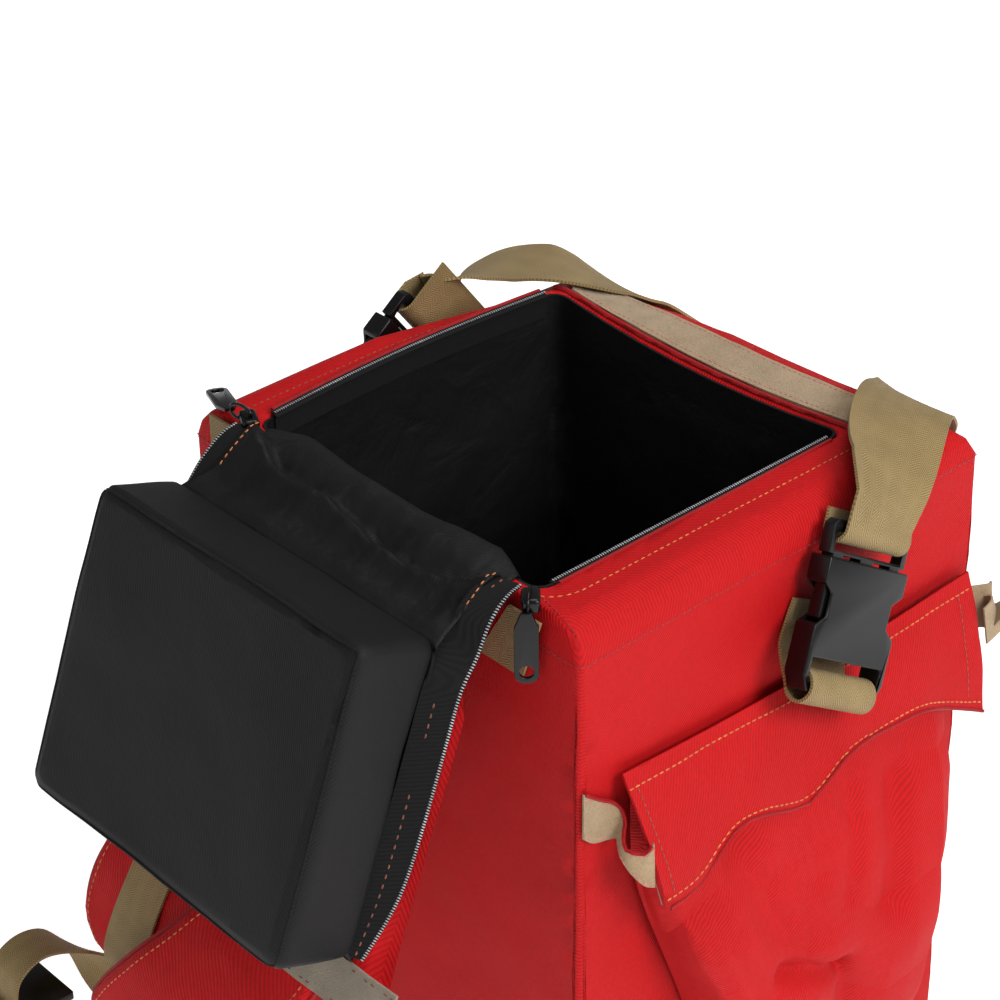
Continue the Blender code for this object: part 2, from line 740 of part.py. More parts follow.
ANCHOR_ROWS = {
    "near": (Way(0.1516, 0.0345, -0.0790, 1.0, 0.0, 0.2), Way(0.1475, 0.0425, -0.0660, 1.0, 0.0, 0.1),
             Way(0.1457, 0.0480, -0.0560, 1.0, 0.0, 0.0)),
    "far": (Way(-0.1474, -0.0056, -0.0665, -1.0, 0.0, 0.0), Way(-0.1457, 0.0114, -0.0540, -1.0, 0.0, 0.0)),
}


def make_anchors(tan):
    for row in BUCKLES:
        frame = buckle_frame(row)
        places, faces_to = wrap_rows(frame, ANCHOR_BAR, ANCHOR_WRAP, *ANCHOR_TURNS, ANCHOR_STEPS)
        places += [rim(*way[:3]) for way in ANCHOR_ROWS[row.name]]
        faces_to += [-Vector(way[3:6]) for way in ANCHOR_ROWS[row.name]]
        band(row.name + "_anchor_webbing", places, faces_to, WEB, WEB_T, tan)


# Side pocket

POCKET_X = BODY_W / 2 + WALL_BULGE + GAP
Drop = namedtuple("Drop", "z depth left right")
POCKET_ROWS = (
    Drop(-0.104, 0.0030, -0.087, 0.138), Drop(-0.125, 0.008, -0.086, 0.137),
    Drop(-0.150, 0.015, -0.083, 0.135), Drop(-0.185, 0.027, -0.072, 0.131),
    Drop(-0.235, 0.036, -0.053, 0.124), Drop(-0.290, 0.038, -0.034, 0.115),
    Drop(-0.335, 0.030, -0.020, 0.106), Drop(-0.362, 0.012, -0.010, 0.098),
    Drop(-0.370, 0.0015, -0.006, 0.094),
)
Across = namedtuple("Across", "share depth")
POCKET_ACROSS = (
    Across(0.0, 0.0), Across(0.012, 0.42), Across(0.03, 0.80), Across(0.08, 0.97), Across(0.2, 1.0),
    Across(0.32, 1.02), Across(0.44, 0.98), Across(0.56, 1.0), Across(0.68, 1.03), Across(0.8, 1.0),
    Across(0.92, 0.97), Across(0.97, 0.80), Across(0.988, 0.42), Across(1.0, 0.0),
)
POCKET_FOLD = 0.0022
LOOP_STRIP_W = 0.025


def make_pocket(red):
    grid = []
    for index, row in enumerate(spline([tuple(r) for r in POCKET_ROWS], 2)):
        z, depth, left, right = row
        line = []
        for across in POCKET_ACROSS:
            y = mix(left, right, across.share)
            wave = POCKET_FOLD * math.sin(y * 85 + index * 0.7) * math.sin(math.pi * across.share)
            settle = min(depth / 0.03, 1.0)
            out = CLOTH + depth * across.depth + wave * settle
            line.append(rim(POCKET_X + out, y, z))
        grid.append(line)
    sheet("pocket_body", grid, -CLOTH, red)


Hem = namedtuple("Hem", "top_y y out z")
FLAP_ROWS = (
    Hem(-0.093, -0.086, 0.0245, -0.157), Hem(-0.070, -0.062, 0.0220, -0.156),
    Hem(-0.040, -0.036, 0.0195, -0.141), Hem(-0.015, -0.014, 0.0195, -0.142),
    Hem(0.018, 0.020, 0.0185, -0.153), Hem(0.045, 0.045, 0.0200, -0.138),
    Hem(0.080, 0.080, 0.0175, -0.138), Hem(0.115, 0.112, 0.0170, -0.143),
    Hem(0.157, 0.156, 0.0185, -0.166),
)
FLAP_TOP = -0.087
FLAP_DIP = -0.005
FLAP_DOWN = (0.0, 0.08, 0.2, 0.35, 0.5, 0.65, 0.8, 0.92, 1.0)
FLAP_BELLY = 0.0025


def flap_grid(steps):
    grid = []
    hems = spline([tuple(row) for row in FLAP_ROWS], steps)
    for down in FLAP_DOWN:
        line = []
        for top_y, y, out, z in hems:
            middle = math.sin(math.pi * (top_y - FLAP_ROWS[0].top_y) / 0.25)
            start_z = FLAP_TOP + FLAP_DIP * middle
            belly = FLAP_BELLY * math.sin(math.pi * down)
            x = POCKET_X + CLOTH + out * down + belly
            line.append(rim(x, mix(top_y, y, down), mix(start_z, z, down)))
        grid.append(line)
    return grid


def make_flap(red):
    sheet("pocket_flap", flap_grid(2), -CLOTH, red)


def make_pocket_strips(tan):
    rows = spline(LEFT_MOUTH, 2)
    upper = [rim(row[0], row[1], row[2]) for row in rows]
    lower = [rim(row[0], row[3], row[4]) for row in rows]
    strip("pocket_loop_strip", upper, lower, TAPE_T, tan)
    table_band("pocket_side_strip", RIGHT_STRIP, 3, LOOP_STRIP_W, TAPE_T, tan)
    grid = flap_grid(2)
    lift = CLOTH + GAP + TAPE_T / 2 + 0.0002
    upper = [p - Vector((lift, 0, 0)) for p in grid[6][:6]]
    lower = [p - Vector((lift, 0, 0)) for p in grid[8][:6]]
    strip("flap_hook_strip", upper, lower, TAPE_T, tan)


# The pocket's mouth edge: a strip's upper and lower edge as it leaves the wall and folds
Mouth = namedtuple("Mouth", "x top_y top_z low_y low_z")
LEFT_MOUTH = (
    Mouth(0.1452, -0.1145, -0.0895, -0.1145, -0.1160), Mouth(0.1452, -0.1035, -0.0985, -0.1080, -0.1218),
    Mouth(0.1462, -0.0962, -0.1033, -0.0986, -0.1240), Mouth(0.1485, -0.0925, -0.1083, -0.0954, -0.1240),
    Mouth(0.1520, -0.0935, -0.1131, -0.0980, -0.1245), Mouth(0.1550, -0.0975, -0.1183, -0.0996, -0.1279),
    Mouth(0.1590, -0.0996, -0.1225, -0.1001, -0.1313), Mouth(0.1630, -0.0975, -0.1233, -0.0987, -0.1364),
    Mouth(0.1665, -0.0935, -0.1238, -0.0940, -0.1430), Mouth(0.1680, -0.0900, -0.1180, -0.0888, -0.1457),
)
RIGHT_STRIP = (
    Way(0.1452, 0.1450, -0.1120, 1.0, 0.0, 0.0), Way(0.1452, 0.1590, -0.1130, 1.0, 0.0, 0.0),
    Way(0.1495, 0.1720, -0.1150, 1.0, 0.2, 0.0), Way(0.1530, 0.1800, -0.1170, 0.0, 1.0, 0.0),
    Way(0.1565, 0.1740, -0.1190, -1.0, 0.2, 0.0), Way(0.1575, 0.1650, -0.1210, -1.0, 0.0, 0.0),
)


# Shoulder straps

LEFT_WAY = (
    Way(-0.0600, -0.1225, -0.0500, 0.0, -1.0, 0.0, 0.056), Way(-0.0600, -0.1250, -0.0850, 0.0, -1.0, 0.1, 0.058),
    Way(-0.0630, -0.1380, -0.1250, 0.0, -1.0, 0.4, 0.064), Way(-0.0680, -0.1680, -0.1640, 0.0, -1.0, 0.6, 0.074),
    Way(-0.0720, -0.1960, -0.2000, 0.0, -1.0, 0.5, 0.082), Way(-0.0760, -0.2150, -0.2350, 0.0, -1.0, 0.2, 0.088),
    Way(-0.0860, -0.2200, -0.2680, 0.0, -1.0, -0.1, 0.080), Way(-0.0930, -0.2170, -0.2880, 0.0, -1.0, -0.2, 0.060),
)
RIGHT_WAY = (
    Way(0.0020, -0.1225, -0.0500, 0.0, -1.0, 0.0, 0.056), Way(0.0020, -0.1250, -0.0850, 0.0, -1.0, 0.1, 0.058),
    Way(0.0060, -0.1380, -0.1250, 0.0, -1.0, 0.4, 0.064), Way(0.0150, -0.1680, -0.1620, 0.0, -1.0, 0.6, 0.070),
    Way(0.0190, -0.2000, -0.1960, 0.1, -1.0, 0.5, 0.076), Way(0.0010, -0.2270, -0.2310, 0.1, -1.0, 0.4, 0.080),
    Way(-0.0250, -0.2430, -0.2640, 0.1, -1.0, 0.2, 0.080), Way(-0.0520, -0.2480, -0.2960, 0.0, -1.0, 0.0, 0.074),
    Way(-0.0680, -0.2450, -0.3160, 0.0, -1.0, -0.1, 0.056),
)
LOCK = (0.036, 0.026, 0.005)
LOCK_GAP = 2 * GAP
FOOT_OUT = WALL_BULGE * 0.25
Adjust = namedtuple("Adjust", "name way base_x web_from")
SIDES = (Adjust("left", LEFT_WAY, -0.1180, 0.4), Adjust("right", RIGHT_WAY, 0.0950, 0.75))


def strap_path(table):
    rows = spline([tuple(row) for row in table], 3)
    places = [rim(*row[:3]) for row in rows]
    return places, [Vector(row[3:6]) for row in rows], [row[6] for row in rows]


def raised(places, faces_to, lift):
    """The places moved outward from a strap's middle to lie on its face."""
    out = []
    for i, place in enumerate(places):
        ahead = places[min(i + 1, len(places) - 1)] - places[max(i - 1, 0)]
        across = ahead.cross(faces_to[i]).normalized()
        out.append(place + across.cross(ahead).normalized() * lift)
    return out


def make_shoulder_straps(red, tan, plastic):
    for side in SIDES:
        places, faces_to, widths = strap_path(side.way)
        band("strap_" + side.name, places, faces_to, widths, STRAP_T, red, PADDED)
        ahead = (places[-1] - places[-3]).normalized()
        lift = STRAP_T / 2 + GAP + WEB_T / 2
        on_top = raised(places, faces_to, lift)
        first = round(len(places) * side.web_from)
        band("strap_webbing_" + side.name, on_top[first:-1], faces_to[first:-1], STRAP_WEB, WEB_T, tan)
        across = ahead.cross(faces_to[-1])
        seat = places[-1] + ahead * (LOCK[1] / 2 + LOCK_GAP)
        frame = axes(seat, across, ahead)
        lock = block("ladder_lock_" + side.name, LOCK, frame, plastic)
        for y in (-0.0065, 0.0065):
            size = (STRAP_WEB - 0.002, 0.006, LOCK[2] * 2)
            cut(lock, block("lock_slot_" + side.name, size, frame, plastic, (0, y, 0)))
        make_adjuster(side, frame, tan)


def make_adjuster(side, frame, tan):
    """Webbing from the harness wall's foot up into the ladder lock."""
    wall = -MOUTH / 2 - BACK_RIM - FOOT_OUT - GAP - WEB_T / 2
    foot = [rim(side.base_x, wall, z) for z in (-0.445, -0.430, -0.415)]
    top = frame @ Vector((0, -LOCK[1] / 2 - LOCK_GAP, 0))
    lead = frame @ Vector((0, -LOCK[1] / 2 - LOCK_GAP - 0.02, 0))
    middle = [foot[-1].lerp(lead, t) + Vector((0, -0.012 * math.sin(math.pi * t), 0)) for t in (0.3, 0.6, 0.85)]
    places = foot + middle + [lead, top]
    faces_to = [Vector((0, -1, 0))] * len(places)
    band("adjuster_" + side.name, places, faces_to, ADJUST_WEB, WEB_T, tan)


TAIL_WAY = (
    Way(-0.1254, -0.2000, -0.3460, -1.0, 0.3, 0.0), Way(-0.1340, -0.2080, -0.3260, -1.0, 0.4, 0.4),
    Way(-0.1400, -0.2190, -0.3040, -0.4, 0.8, 0.6), Way(-0.1410, -0.2350, -0.2880, 0.0, 0.5, 1.0),
    Way(-0.1410, -0.2520, -0.2830, 0.0, 0.0, 1.0), Way(-0.1410, -0.2660, -0.2900, 0.0, -0.8, 0.6),
    Way(-0.1410, -0.2700, -0.3040, 0.0, -1.0, 0.0), Way(-0.1410, -0.2700, -0.3200, 0.0, -1.0, 0.0),
)
TAIL_LOCK = (0.040, 0.038, 0.006)
TAIL_SLOT = 0.004
TAIL_SLOT_OUT = 0.012
TAIL_LOCK_Z = -0.3110


def make_tail(tan, plastic):
    table_band("webbing_tail_left", TAIL_WAY, 3, ADJUST_WEB, WEB_T, tan)
    last = TAIL_WAY[-1]
    frame = axes(rim(last.x, last.y + TAIL_SLOT_OUT, TAIL_LOCK_Z), (1, 0, 0), (0, 1, 0))
    lock = block("tail_lock_left", TAIL_LOCK, frame, plastic)
    size = (ADJUST_WEB + 2 * TAPE_T, TAIL_SLOT, TAIL_LOCK[2] * 2)
    cut(lock, block("tail_slot", size, frame, plastic, (0, TAIL_SLOT_OUT, 0)))


def main():
    clear_scene()
    red = material("red_cordura", RED, 0.8)
    black = material("black_nylon", BLACK, 0.8)
    tan = material("tan_webbing", TAN, 0.85)
    plastic = material("black_plastic", PLASTIC, 0.45)
    metal = material("dark_metal", METAL, 0.4, 0.8)
    make_body(red)
    make_lining(black)
    make_rim_strips(tan, black)
    make_lid_lining(black)
    make_lid_shell(red)
    make_pad(black)
    make_lid_tapes(black)
    make_hook_strip(tan)
    make_pulls(metal, plastic)
    make_zip_tabs(tan)
    make_buckles(plastic)
    make_carry_strap(tan)
    make_anchors(tan)
    make_pocket(red)
    make_flap(red)
    make_pocket_strips(tan)
    make_shoulder_straps(red, tan, plastic)
    make_tail(tan, plastic)


main()
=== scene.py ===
import math
import random

import bmesh
import bpy
from mathutils import Matrix, Vector, noise
from mathutils.bvhtree import BVHTree


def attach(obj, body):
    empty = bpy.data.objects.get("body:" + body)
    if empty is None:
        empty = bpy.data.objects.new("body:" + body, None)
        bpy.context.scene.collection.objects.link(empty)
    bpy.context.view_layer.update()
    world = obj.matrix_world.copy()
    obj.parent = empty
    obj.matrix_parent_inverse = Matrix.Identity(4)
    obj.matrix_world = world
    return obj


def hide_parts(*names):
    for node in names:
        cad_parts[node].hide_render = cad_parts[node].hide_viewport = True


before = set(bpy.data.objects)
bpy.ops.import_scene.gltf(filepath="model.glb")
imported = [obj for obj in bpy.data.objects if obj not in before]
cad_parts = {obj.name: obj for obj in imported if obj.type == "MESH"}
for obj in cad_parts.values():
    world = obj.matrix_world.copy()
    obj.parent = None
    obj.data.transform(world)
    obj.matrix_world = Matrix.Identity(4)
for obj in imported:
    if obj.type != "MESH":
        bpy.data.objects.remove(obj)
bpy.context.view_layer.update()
random.seed(7)
mouthY = -0.025          # middle of the mouth in the pack's own frame
mouthZ = 0.470
print("frame loaded")


# Small helpers

def rim(x, y, z):
    return Vector((x, mouthY + y, mouthZ + z))


def lidPoint(x, down, out):
    lid = {"tilt": math.radians(21.2), "out": 0.159, "drop": 0.006}
    sin, cos = math.sin(lid["tilt"]), math.cos(lid["tilt"])
    return rim(x, -lid["out"] - down * sin - out * cos, -lid["drop"] - down * cos + out * sin)


def mix(a, b, share):
    return a + (b - a) * share


def smoothPath(rows, steps):
    # Catmull-Rom through the rows, each row a tuple of numbers
    out = []
    for i in range(len(rows) - 1):
        a, b, c = rows[max(i - 1, 0)], rows[i], rows[i + 1]
        d = rows[min(i + 2, len(rows) - 1)]
        for k in range(steps):
            t = k / steps
            out.append(tuple(0.5 * (2 * q + (r - p) * t + (2 * p - 5 * q + 4 * r - s) * t * t
                                    + (3 * q - p - 3 * r + s) * t ** 3) for p, q, r, s in zip(a, b, c, d)))
    out.append(tuple(rows[-1]))
    return out


def pickOnly(piece):
    for other in bpy.context.selected_objects:
        other.select_set(False)
    piece.select_set(True)
    bpy.context.view_layer.objects.active = piece


def applyAll(piece):
    pickOnly(piece)
    for modifier in list(piece.modifiers):
        bpy.ops.object.modifier_apply(modifier=modifier.name)


def smoothFaces(piece, angle=40):
    pickOnly(piece)
    bpy.ops.object.shade_smooth_by_angle(angle=math.radians(angle))


def dress(piece, look, body="pack", replaces=()):
    piece.data.materials.clear()
    piece.data.materials.append(look)
    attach(piece, body)
    if replaces:
        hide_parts(*replaces)
    return piece


def copyOfNode(node, name):
    # the CAD piece again, its loose triangles merged into quads
    piece = bpy.data.objects.new(name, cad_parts[node].data.copy())
    bpy.context.scene.collection.objects.link(piece)
    pickOnly(piece)
    bpy.ops.object.mode_set(mode="EDIT")
    bpy.ops.mesh.select_all(action="SELECT")
    bpy.ops.mesh.remove_doubles(threshold=0.00002)
    bpy.ops.mesh.tris_convert_to_quads(face_threshold=math.radians(50), shape_threshold=math.radians(60))
    bpy.ops.object.mode_set(mode="OBJECT")
    return piece


def splitLongEdges(piece, limit, rounds=6):
    pickOnly(piece)
    for turn in range(rounds):
        bpy.ops.object.mode_set(mode="EDIT")
        bpy.ops.mesh.select_mode(type="EDGE")
        bpy.ops.mesh.select_all(action="DESELECT")
        mesh = bmesh.from_edit_mesh(piece.data)
        found = 0
        for edge in mesh.edges:
            if edge.calc_length() > limit:
                edge.select_set(True)
                found += 1
        bmesh.update_edit_mesh(piece.data)
        if found:
            bpy.ops.mesh.subdivide(number_cuts=1)
        bpy.ops.object.mode_set(mode="OBJECT")
        if not found:
            break


def creaseAndRound(piece, angle, levels, strength=0.9):
    # subdivision surface that keeps the sewn edges
    mesh = bmesh.new()
    mesh.from_mesh(piece.data)
    layer = mesh.edges.layers.float.get("crease_edge") or mesh.edges.layers.float.new("crease_edge")
    for edge in mesh.edges:
        if len(edge.link_faces) != 2 or edge.calc_face_angle(0) > math.radians(angle):
            edge[layer] = strength
    mesh.to_mesh(piece.data)
    mesh.free()
    rounder = piece.modifiers.new("round", "SUBSURF")
    rounder.levels = levels
    rounder.render_levels = levels
    applyAll(piece)


def crumple(piece, waves, weight=None):
    # waves: (size in metres, depth in metres, seed) noise pushed along the normals
    mesh = piece.data
    normals = [v.normal.copy() for v in mesh.vertices]
    for vertex, normal in zip(mesh.vertices, normals):
        share = weight(vertex.co) if weight else 1.0
        if share <= 0:
            continue
        push = 0.0
        for size, depth, seed in waves:
            spot = vertex.co / size + Vector((seed, seed * 0.7, -seed))
            push += depth * noise.noise(spot)
        vertex.co += normal * push * share
    mesh.update()


def flatMap(piece, across, along):
    # a UV map in metres from two directions
    across, along = Vector(across).normalized(), Vector(along).normalized()
    layer = piece.data.uv_layers.get("weave") or piece.data.uv_layers.new(name="weave")
    for loop in piece.data.loops:
        place = piece.data.vertices[loop.vertex_index].co
        layer.data[loop.index].uv = (place.dot(across), place.dot(along))
    layer.active = True


def gridPiece(name, rows, columns, spot):
    # a grid primitive whose vertices are then set at spot(row, column)
    for other in bpy.context.selected_objects:
        other.select_set(False)
    bpy.ops.mesh.primitive_grid_add(x_subdivisions=columns, y_subdivisions=rows, size=1)
    piece = bpy.context.object
    piece.name = name
    piece.data.name = name
    layer = piece.data.uv_layers.get("weave") or piece.data.uv_layers.new(name="weave")
    cells = []
    for vertex in piece.data.vertices:
        cells.append((round((vertex.co.y + 0.5) * rows), round((vertex.co.x + 0.5) * columns)))
    maps = {}
    for vertex, cell in zip(piece.data.vertices, cells):
        place, u, v = spot(*cell)
        vertex.co = place
        maps[vertex.index] = (u, v)
    for loop in piece.data.loops:
        layer.data[loop.index].uv = maps[loop.vertex_index]
    layer.active = True
    for other in [m for m in piece.data.uv_layers if m.name != "weave"]:
        piece.data.uv_layers.remove(other)
    return piece


def layBand(name, places, facing, width, thick, columns=6, crown=0.0):
    # flat webbing swept along places, its face turned toward facing
    count = len(places)
    widths = width if isinstance(width, list) else [width] * count
    lengths = [0.0]
    for i in range(1, count):
        lengths.append(lengths[-1] + (places[i] - places[i - 1]).length)

    def spot(row, column):
        ahead = places[min(row + 1, count - 1)] - places[max(row - 1, 0)]
        side = ahead.cross(facing[row]).normalized()
        outward = side.cross(ahead).normalized()
        u = (column / columns - 0.5) * widths[row]
        rise = crown * (1 - (2 * column / columns - 1) ** 2)
        return places[row] + side * u + outward * rise, u, lengths[row]

    piece = gridPiece(name, count - 1, columns, spot)
    wall = piece.modifiers.new("thick", "SOLIDIFY")
    wall.thickness = thick
    wall.offset = 0.0
    applyAll(piece)
    smoothFaces(piece, 50)
    return piece


def layStrip(name, edgeA, edgeB, thick, columns=4):
    # a strip between two edges
    count = len(edgeA)
    lengths = [0.0]
    for i in range(1, count):
        lengths.append(lengths[-1] + (edgeA[i] - edgeA[i - 1]).length)

    def spot(row, column):
        share = column / columns
        wide = (edgeB[row] - edgeA[row]).length
        return edgeA[row].lerp(edgeB[row], share), (share - 0.5) * wide, lengths[row]

    piece = gridPiece(name, count - 1, columns, spot)
    wall = piece.modifiers.new("thick", "SOLIDIFY")
    wall.thickness = thick
    wall.offset = 0.0
    applyAll(piece)
    smoothFaces(piece, 50)
    return piece


def surfaceOf(piece):
    mesh = bmesh.new()
    mesh.from_mesh(piece.data)
    tree = BVHTree.FromBMesh(mesh)
    mesh.free()
    return tree


def walk(points, pitch):
    # evenly spaced (place, direction) along a polyline
    out = []
    left = pitch * 0.5
    for a, b in zip(points, points[1:]):
        step = b - a
        length = step.length
        if length < 1e-6:
            continue
        while left <= length:
            out.append((a + step * (left / length), step.normalized()))
            left += pitch
        left -= length
    return out


def unitBead(name, size, segments=6, rings=4):
    for other in bpy.context.selected_objects:
        other.select_set(False)
    bpy.ops.mesh.primitive_uv_sphere_add(segments=segments, ring_count=rings, radius=0.5)
    bead = bpy.context.object
    bead.name = name
    bpy.ops.object.mode_set(mode="EDIT")
    bpy.ops.mesh.select_all(action="SELECT")
    bpy.ops.transform.resize(value=size)
    bpy.ops.object.mode_set(mode="OBJECT")
    return bead


def repeatAlong(name, unit, spots):
    # one mesh of many copies of the unit, each at (place, along, up); the unit is then removed
    verts, faces = [], []
    base = [v.co.copy() for v in unit.data.vertices]
    polys = [tuple(p.vertices) for p in unit.data.polygons]
    for place, along, up in spots:
        side = up.cross(along).normalized()
        lift = along.cross(side).normalized()
        turned = Matrix((along.normalized(), side, lift)).transposed()
        first = len(verts)
        verts += [place + turned @ co for co in base]
        faces += [tuple(first + i for i in poly) for poly in polys]
    mesh = bpy.data.meshes.new(name)
    mesh.from_pydata([tuple(v) for v in verts], [], faces)
    piece = bpy.data.objects.new(name, mesh)
    bpy.context.scene.collection.objects.link(piece)
    bpy.data.objects.remove(unit, do_unlink=True)
    smoothFaces(piece, 60)
    return piece


def sew(name, target, path, look, stitch=(0.0032, 0.0009, 0.0007), pitch=0.0042, lift=0.0001):
    # a row of short thread stitches lying on the target
    tree = surfaceOf(target)
    spots = []
    for place, along in walk(path, pitch):
        found, normal, index, far = tree.find_nearest(place)
        if found is None or far > 0.02:
            continue
        spots.append((found + normal * lift, along, normal))
    if not spots:
        print("no stitches for", name)
        return None
    piece = repeatAlong(name, unitBead("bead", stitch), spots)
    return dress(piece, look)


def cordAlong(name, points, radius, look, target=None, lift=0.0):
    # a thin round welt or seam along points, pressed onto the target
    places = [place for place, along in walk(points, 0.003)]
    if target:
        tree = surfaceOf(target)
        onto = []
        for place in places:
            found, normal, index, far = tree.find_nearest(place)
            onto.append(found + normal * lift)
        places = onto
    curve = bpy.data.curves.new(name, "CURVE")
    curve.dimensions = "3D"
    curve.bevel_depth = radius
    curve.bevel_resolution = 1
    curve.use_fill_caps = True
    line = curve.splines.new("POLY")
    line.points.add(len(places) - 1)
    for point, place in zip(line.points, places):
        point.co = (*place, 1.0)
    piece = bpy.data.objects.new(name, curve)
    bpy.context.scene.collection.objects.link(piece)
    pickOnly(piece)
    bpy.ops.object.convert(target="MESH")
    piece = bpy.context.object
    smoothFaces(piece, 60)
    return dress(piece, look)


# Materials

def linear(hexColour):
    channels = [int(hexColour[i:i + 2], 16) / 255 for i in (1, 3, 5)]
    return tuple(c / 12.92 if c <= 0.04045 else ((c + 0.055) / 1.055) ** 2.4 for c in channels) + (1.0,)


def addNode(tree, kind, settings=None, links=None):
    made = tree.nodes.new(kind)
    for key, value in (settings or {}).items():
        if isinstance(key, str) and hasattr(made, key):
            setattr(made, key, value)
        else:
            made.inputs[key].default_value = value
    for key, socket in (links or {}).items():
        tree.links.new(socket, made.inputs[key])
    return made


def newLook(name, roughness, specular=0.5, metallic=0.0, sheen=0.0, coat=0.0):
    look = bpy.data.materials.new(name)
    look.use_nodes = True
    shader = look.node_tree.nodes["Principled BSDF"]
    shader.inputs["Roughness"].default_value = roughness
    shader.inputs["Specular IOR Level"].default_value = specular
    shader.inputs["Metallic"].default_value = metallic
    shader.inputs["Sheen Weight"].default_value = sheen
    shader.inputs["Coat Weight"].default_value = coat
    return look, look.node_tree, shader


def blendColours(tree, factor, dark, light, low=0.0, high=1.0):
    # two sRGB colours mixed by a factor
    ramp = addNode(tree, "ShaderNodeValToRGB", links={"Fac": factor})
    ramp.color_ramp.elements[0].position = low
    ramp.color_ramp.elements[0].color = linear(dark)
    ramp.color_ramp.elements[1].position = high
    ramp.color_ramp.elements[1].color = linear(light)
    return ramp.outputs["Color"]


def twillCloth(name, dark, light, pitch, roughness, bumpDepth, creaseDepth, slant=(1, -1, 1), sheen=0.15):
    # woven cloth in Object coordinates: a diagonal rib every pitch metres, soft creases of 15 to 40 mm
    look, tree, shader = newLook(name, roughness, specular=0.22, sheen=sheen)
    place = addNode(tree, "ShaderNodeTexCoord").outputs["Object"]
    turned = addNode(tree, "ShaderNodeMapping", {"Scale": slant}, {"Vector": place}).outputs["Vector"]
    ribs = addNode(tree, "ShaderNodeTexWave", {"bands_direction": "DIAGONAL", "Scale": 0.444 / pitch,
                                               "Distortion": 0.3, "Detail": 1.0, "Detail Scale": 3.0},
                   {"Vector": turned}).outputs["Fac"]
    threads = addNode(tree, "ShaderNodeTexNoise", {"Scale": 0.55 / pitch, "Detail": 2.0},
                      {"Vector": place}).outputs["Fac"]
    grain = addNode(tree, "ShaderNodeMix", {0: 0.45}, {2: ribs, 3: threads}).outputs[0]
    folds = addNode(tree, "ShaderNodeTexNoise", {"Scale": 34.0, "Detail": 3.0, "Distortion": 0.6},
                    {"Vector": place}).outputs["Fac"]
    cloudy = addNode(tree, "ShaderNodeTexNoise", {"Scale": 9.0, "Detail": 2.0}, {"Vector": place}).outputs["Fac"]
    shade = addNode(tree, "ShaderNodeMix", {0: 0.35}, {2: grain, 3: cloudy}).outputs[0]
    tree.links.new(blendColours(tree, shade, dark, light, 0.25, 0.75), shader.inputs["Base Color"])
    soft = addNode(tree, "ShaderNodeBump", {"Strength": 0.6, "Distance": creaseDepth}, {"Height": folds})
    fine = addNode(tree, "ShaderNodeBump", {"Strength": 0.8, "Distance": bumpDepth},
                   {"Height": grain, "Normal": soft.outputs["Normal"]})
    tree.links.new(fine.outputs["Normal"], shader.inputs["Normal"])
    return look


def webbingCloth(name, dark, light, roughness=0.75):
    # flat nylon webbing, its own UV map in metres: a herringbone of 1.6 mm ribs turning every 5 mm
    look, tree, shader = newLook(name, roughness, specular=0.4, sheen=0.08)
    flat = addNode(tree, "ShaderNodeUVMap", {"uv_map": "weave"}).outputs["UV"]
    parts = addNode(tree, "ShaderNodeSeparateXYZ", links={"Vector": flat})
    zigzag = addNode(tree, "ShaderNodeMath", {"operation": "PINGPONG", 1: 0.005}, {0: parts.outputs["X"]}).outputs[0]
    along = addNode(tree, "ShaderNodeMath", {"operation": "ADD"}, {0: parts.outputs["Y"], 1: zigzag}).outputs[0]
    turns = addNode(tree, "ShaderNodeMath", {"operation": "MULTIPLY", 1: 2 * math.pi / 0.0016}, {0: along}).outputs[0]
    ribs = addNode(tree, "ShaderNodeMath", {"operation": "SINE"}, {0: turns}).outputs[0]
    warpTurns = addNode(tree, "ShaderNodeMath", {"operation": "MULTIPLY", 1: 2 * math.pi / 0.0010},
                        {0: parts.outputs["X"]}).outputs[0]
    warp = addNode(tree, "ShaderNodeMath", {"operation": "SINE"}, {0: warpTurns}).outputs[0]
    both = addNode(tree, "ShaderNodeMix", {0: 0.3}, {2: ribs, 3: warp}).outputs[0]
    height = addNode(tree, "ShaderNodeMath", {"operation": "MULTIPLY_ADD", 1: 0.5, 2: 0.5}, {0: both}).outputs[0]
    place = addNode(tree, "ShaderNodeTexCoord").outputs["Object"]
    worn = addNode(tree, "ShaderNodeTexNoise", {"Scale": 60.0, "Detail": 3.0}, {"Vector": place}).outputs["Fac"]
    shade = addNode(tree, "ShaderNodeMix", {0: 0.4}, {2: height, 3: worn}).outputs[0]
    tree.links.new(blendColours(tree, shade, dark, light, 0.2, 0.8), shader.inputs["Base Color"])
    bump = addNode(tree, "ShaderNodeBump", {"Strength": 0.7, "Distance": 0.0005}, {"Height": height})
    tree.links.new(bump.outputs["Normal"], shader.inputs["Normal"])
    return look


def fuzzyLoop(name, dark, light, scale=900.0):
    # hook-and-loop tape: a mat of fine loops about 1 mm across
    look, tree, shader = newLook(name, 0.95, specular=0.2, sheen=0.3)
    place = addNode(tree, "ShaderNodeTexCoord").outputs["Object"]
    mat = addNode(tree, "ShaderNodeTexNoise", {"Scale": scale, "Detail": 3.0, "Distortion": 1.5},
                  {"Vector": place}).outputs["Fac"]
    patch = addNode(tree, "ShaderNodeTexNoise", {"Scale": 70.0, "Detail": 2.0}, {"Vector": place}).outputs["Fac"]
    shade = addNode(tree, "ShaderNodeMix", {0: 0.4}, {2: mat, 3: patch}).outputs[0]
    tree.links.new(blendColours(tree, shade, dark, light, 0.3, 0.7), shader.inputs["Base Color"])
    bump = addNode(tree, "ShaderNodeBump", {"Strength": 0.9, "Distance": 0.0008}, {"Height": mat})
    tree.links.new(bump.outputs["Normal"], shader.inputs["Normal"])
    return look


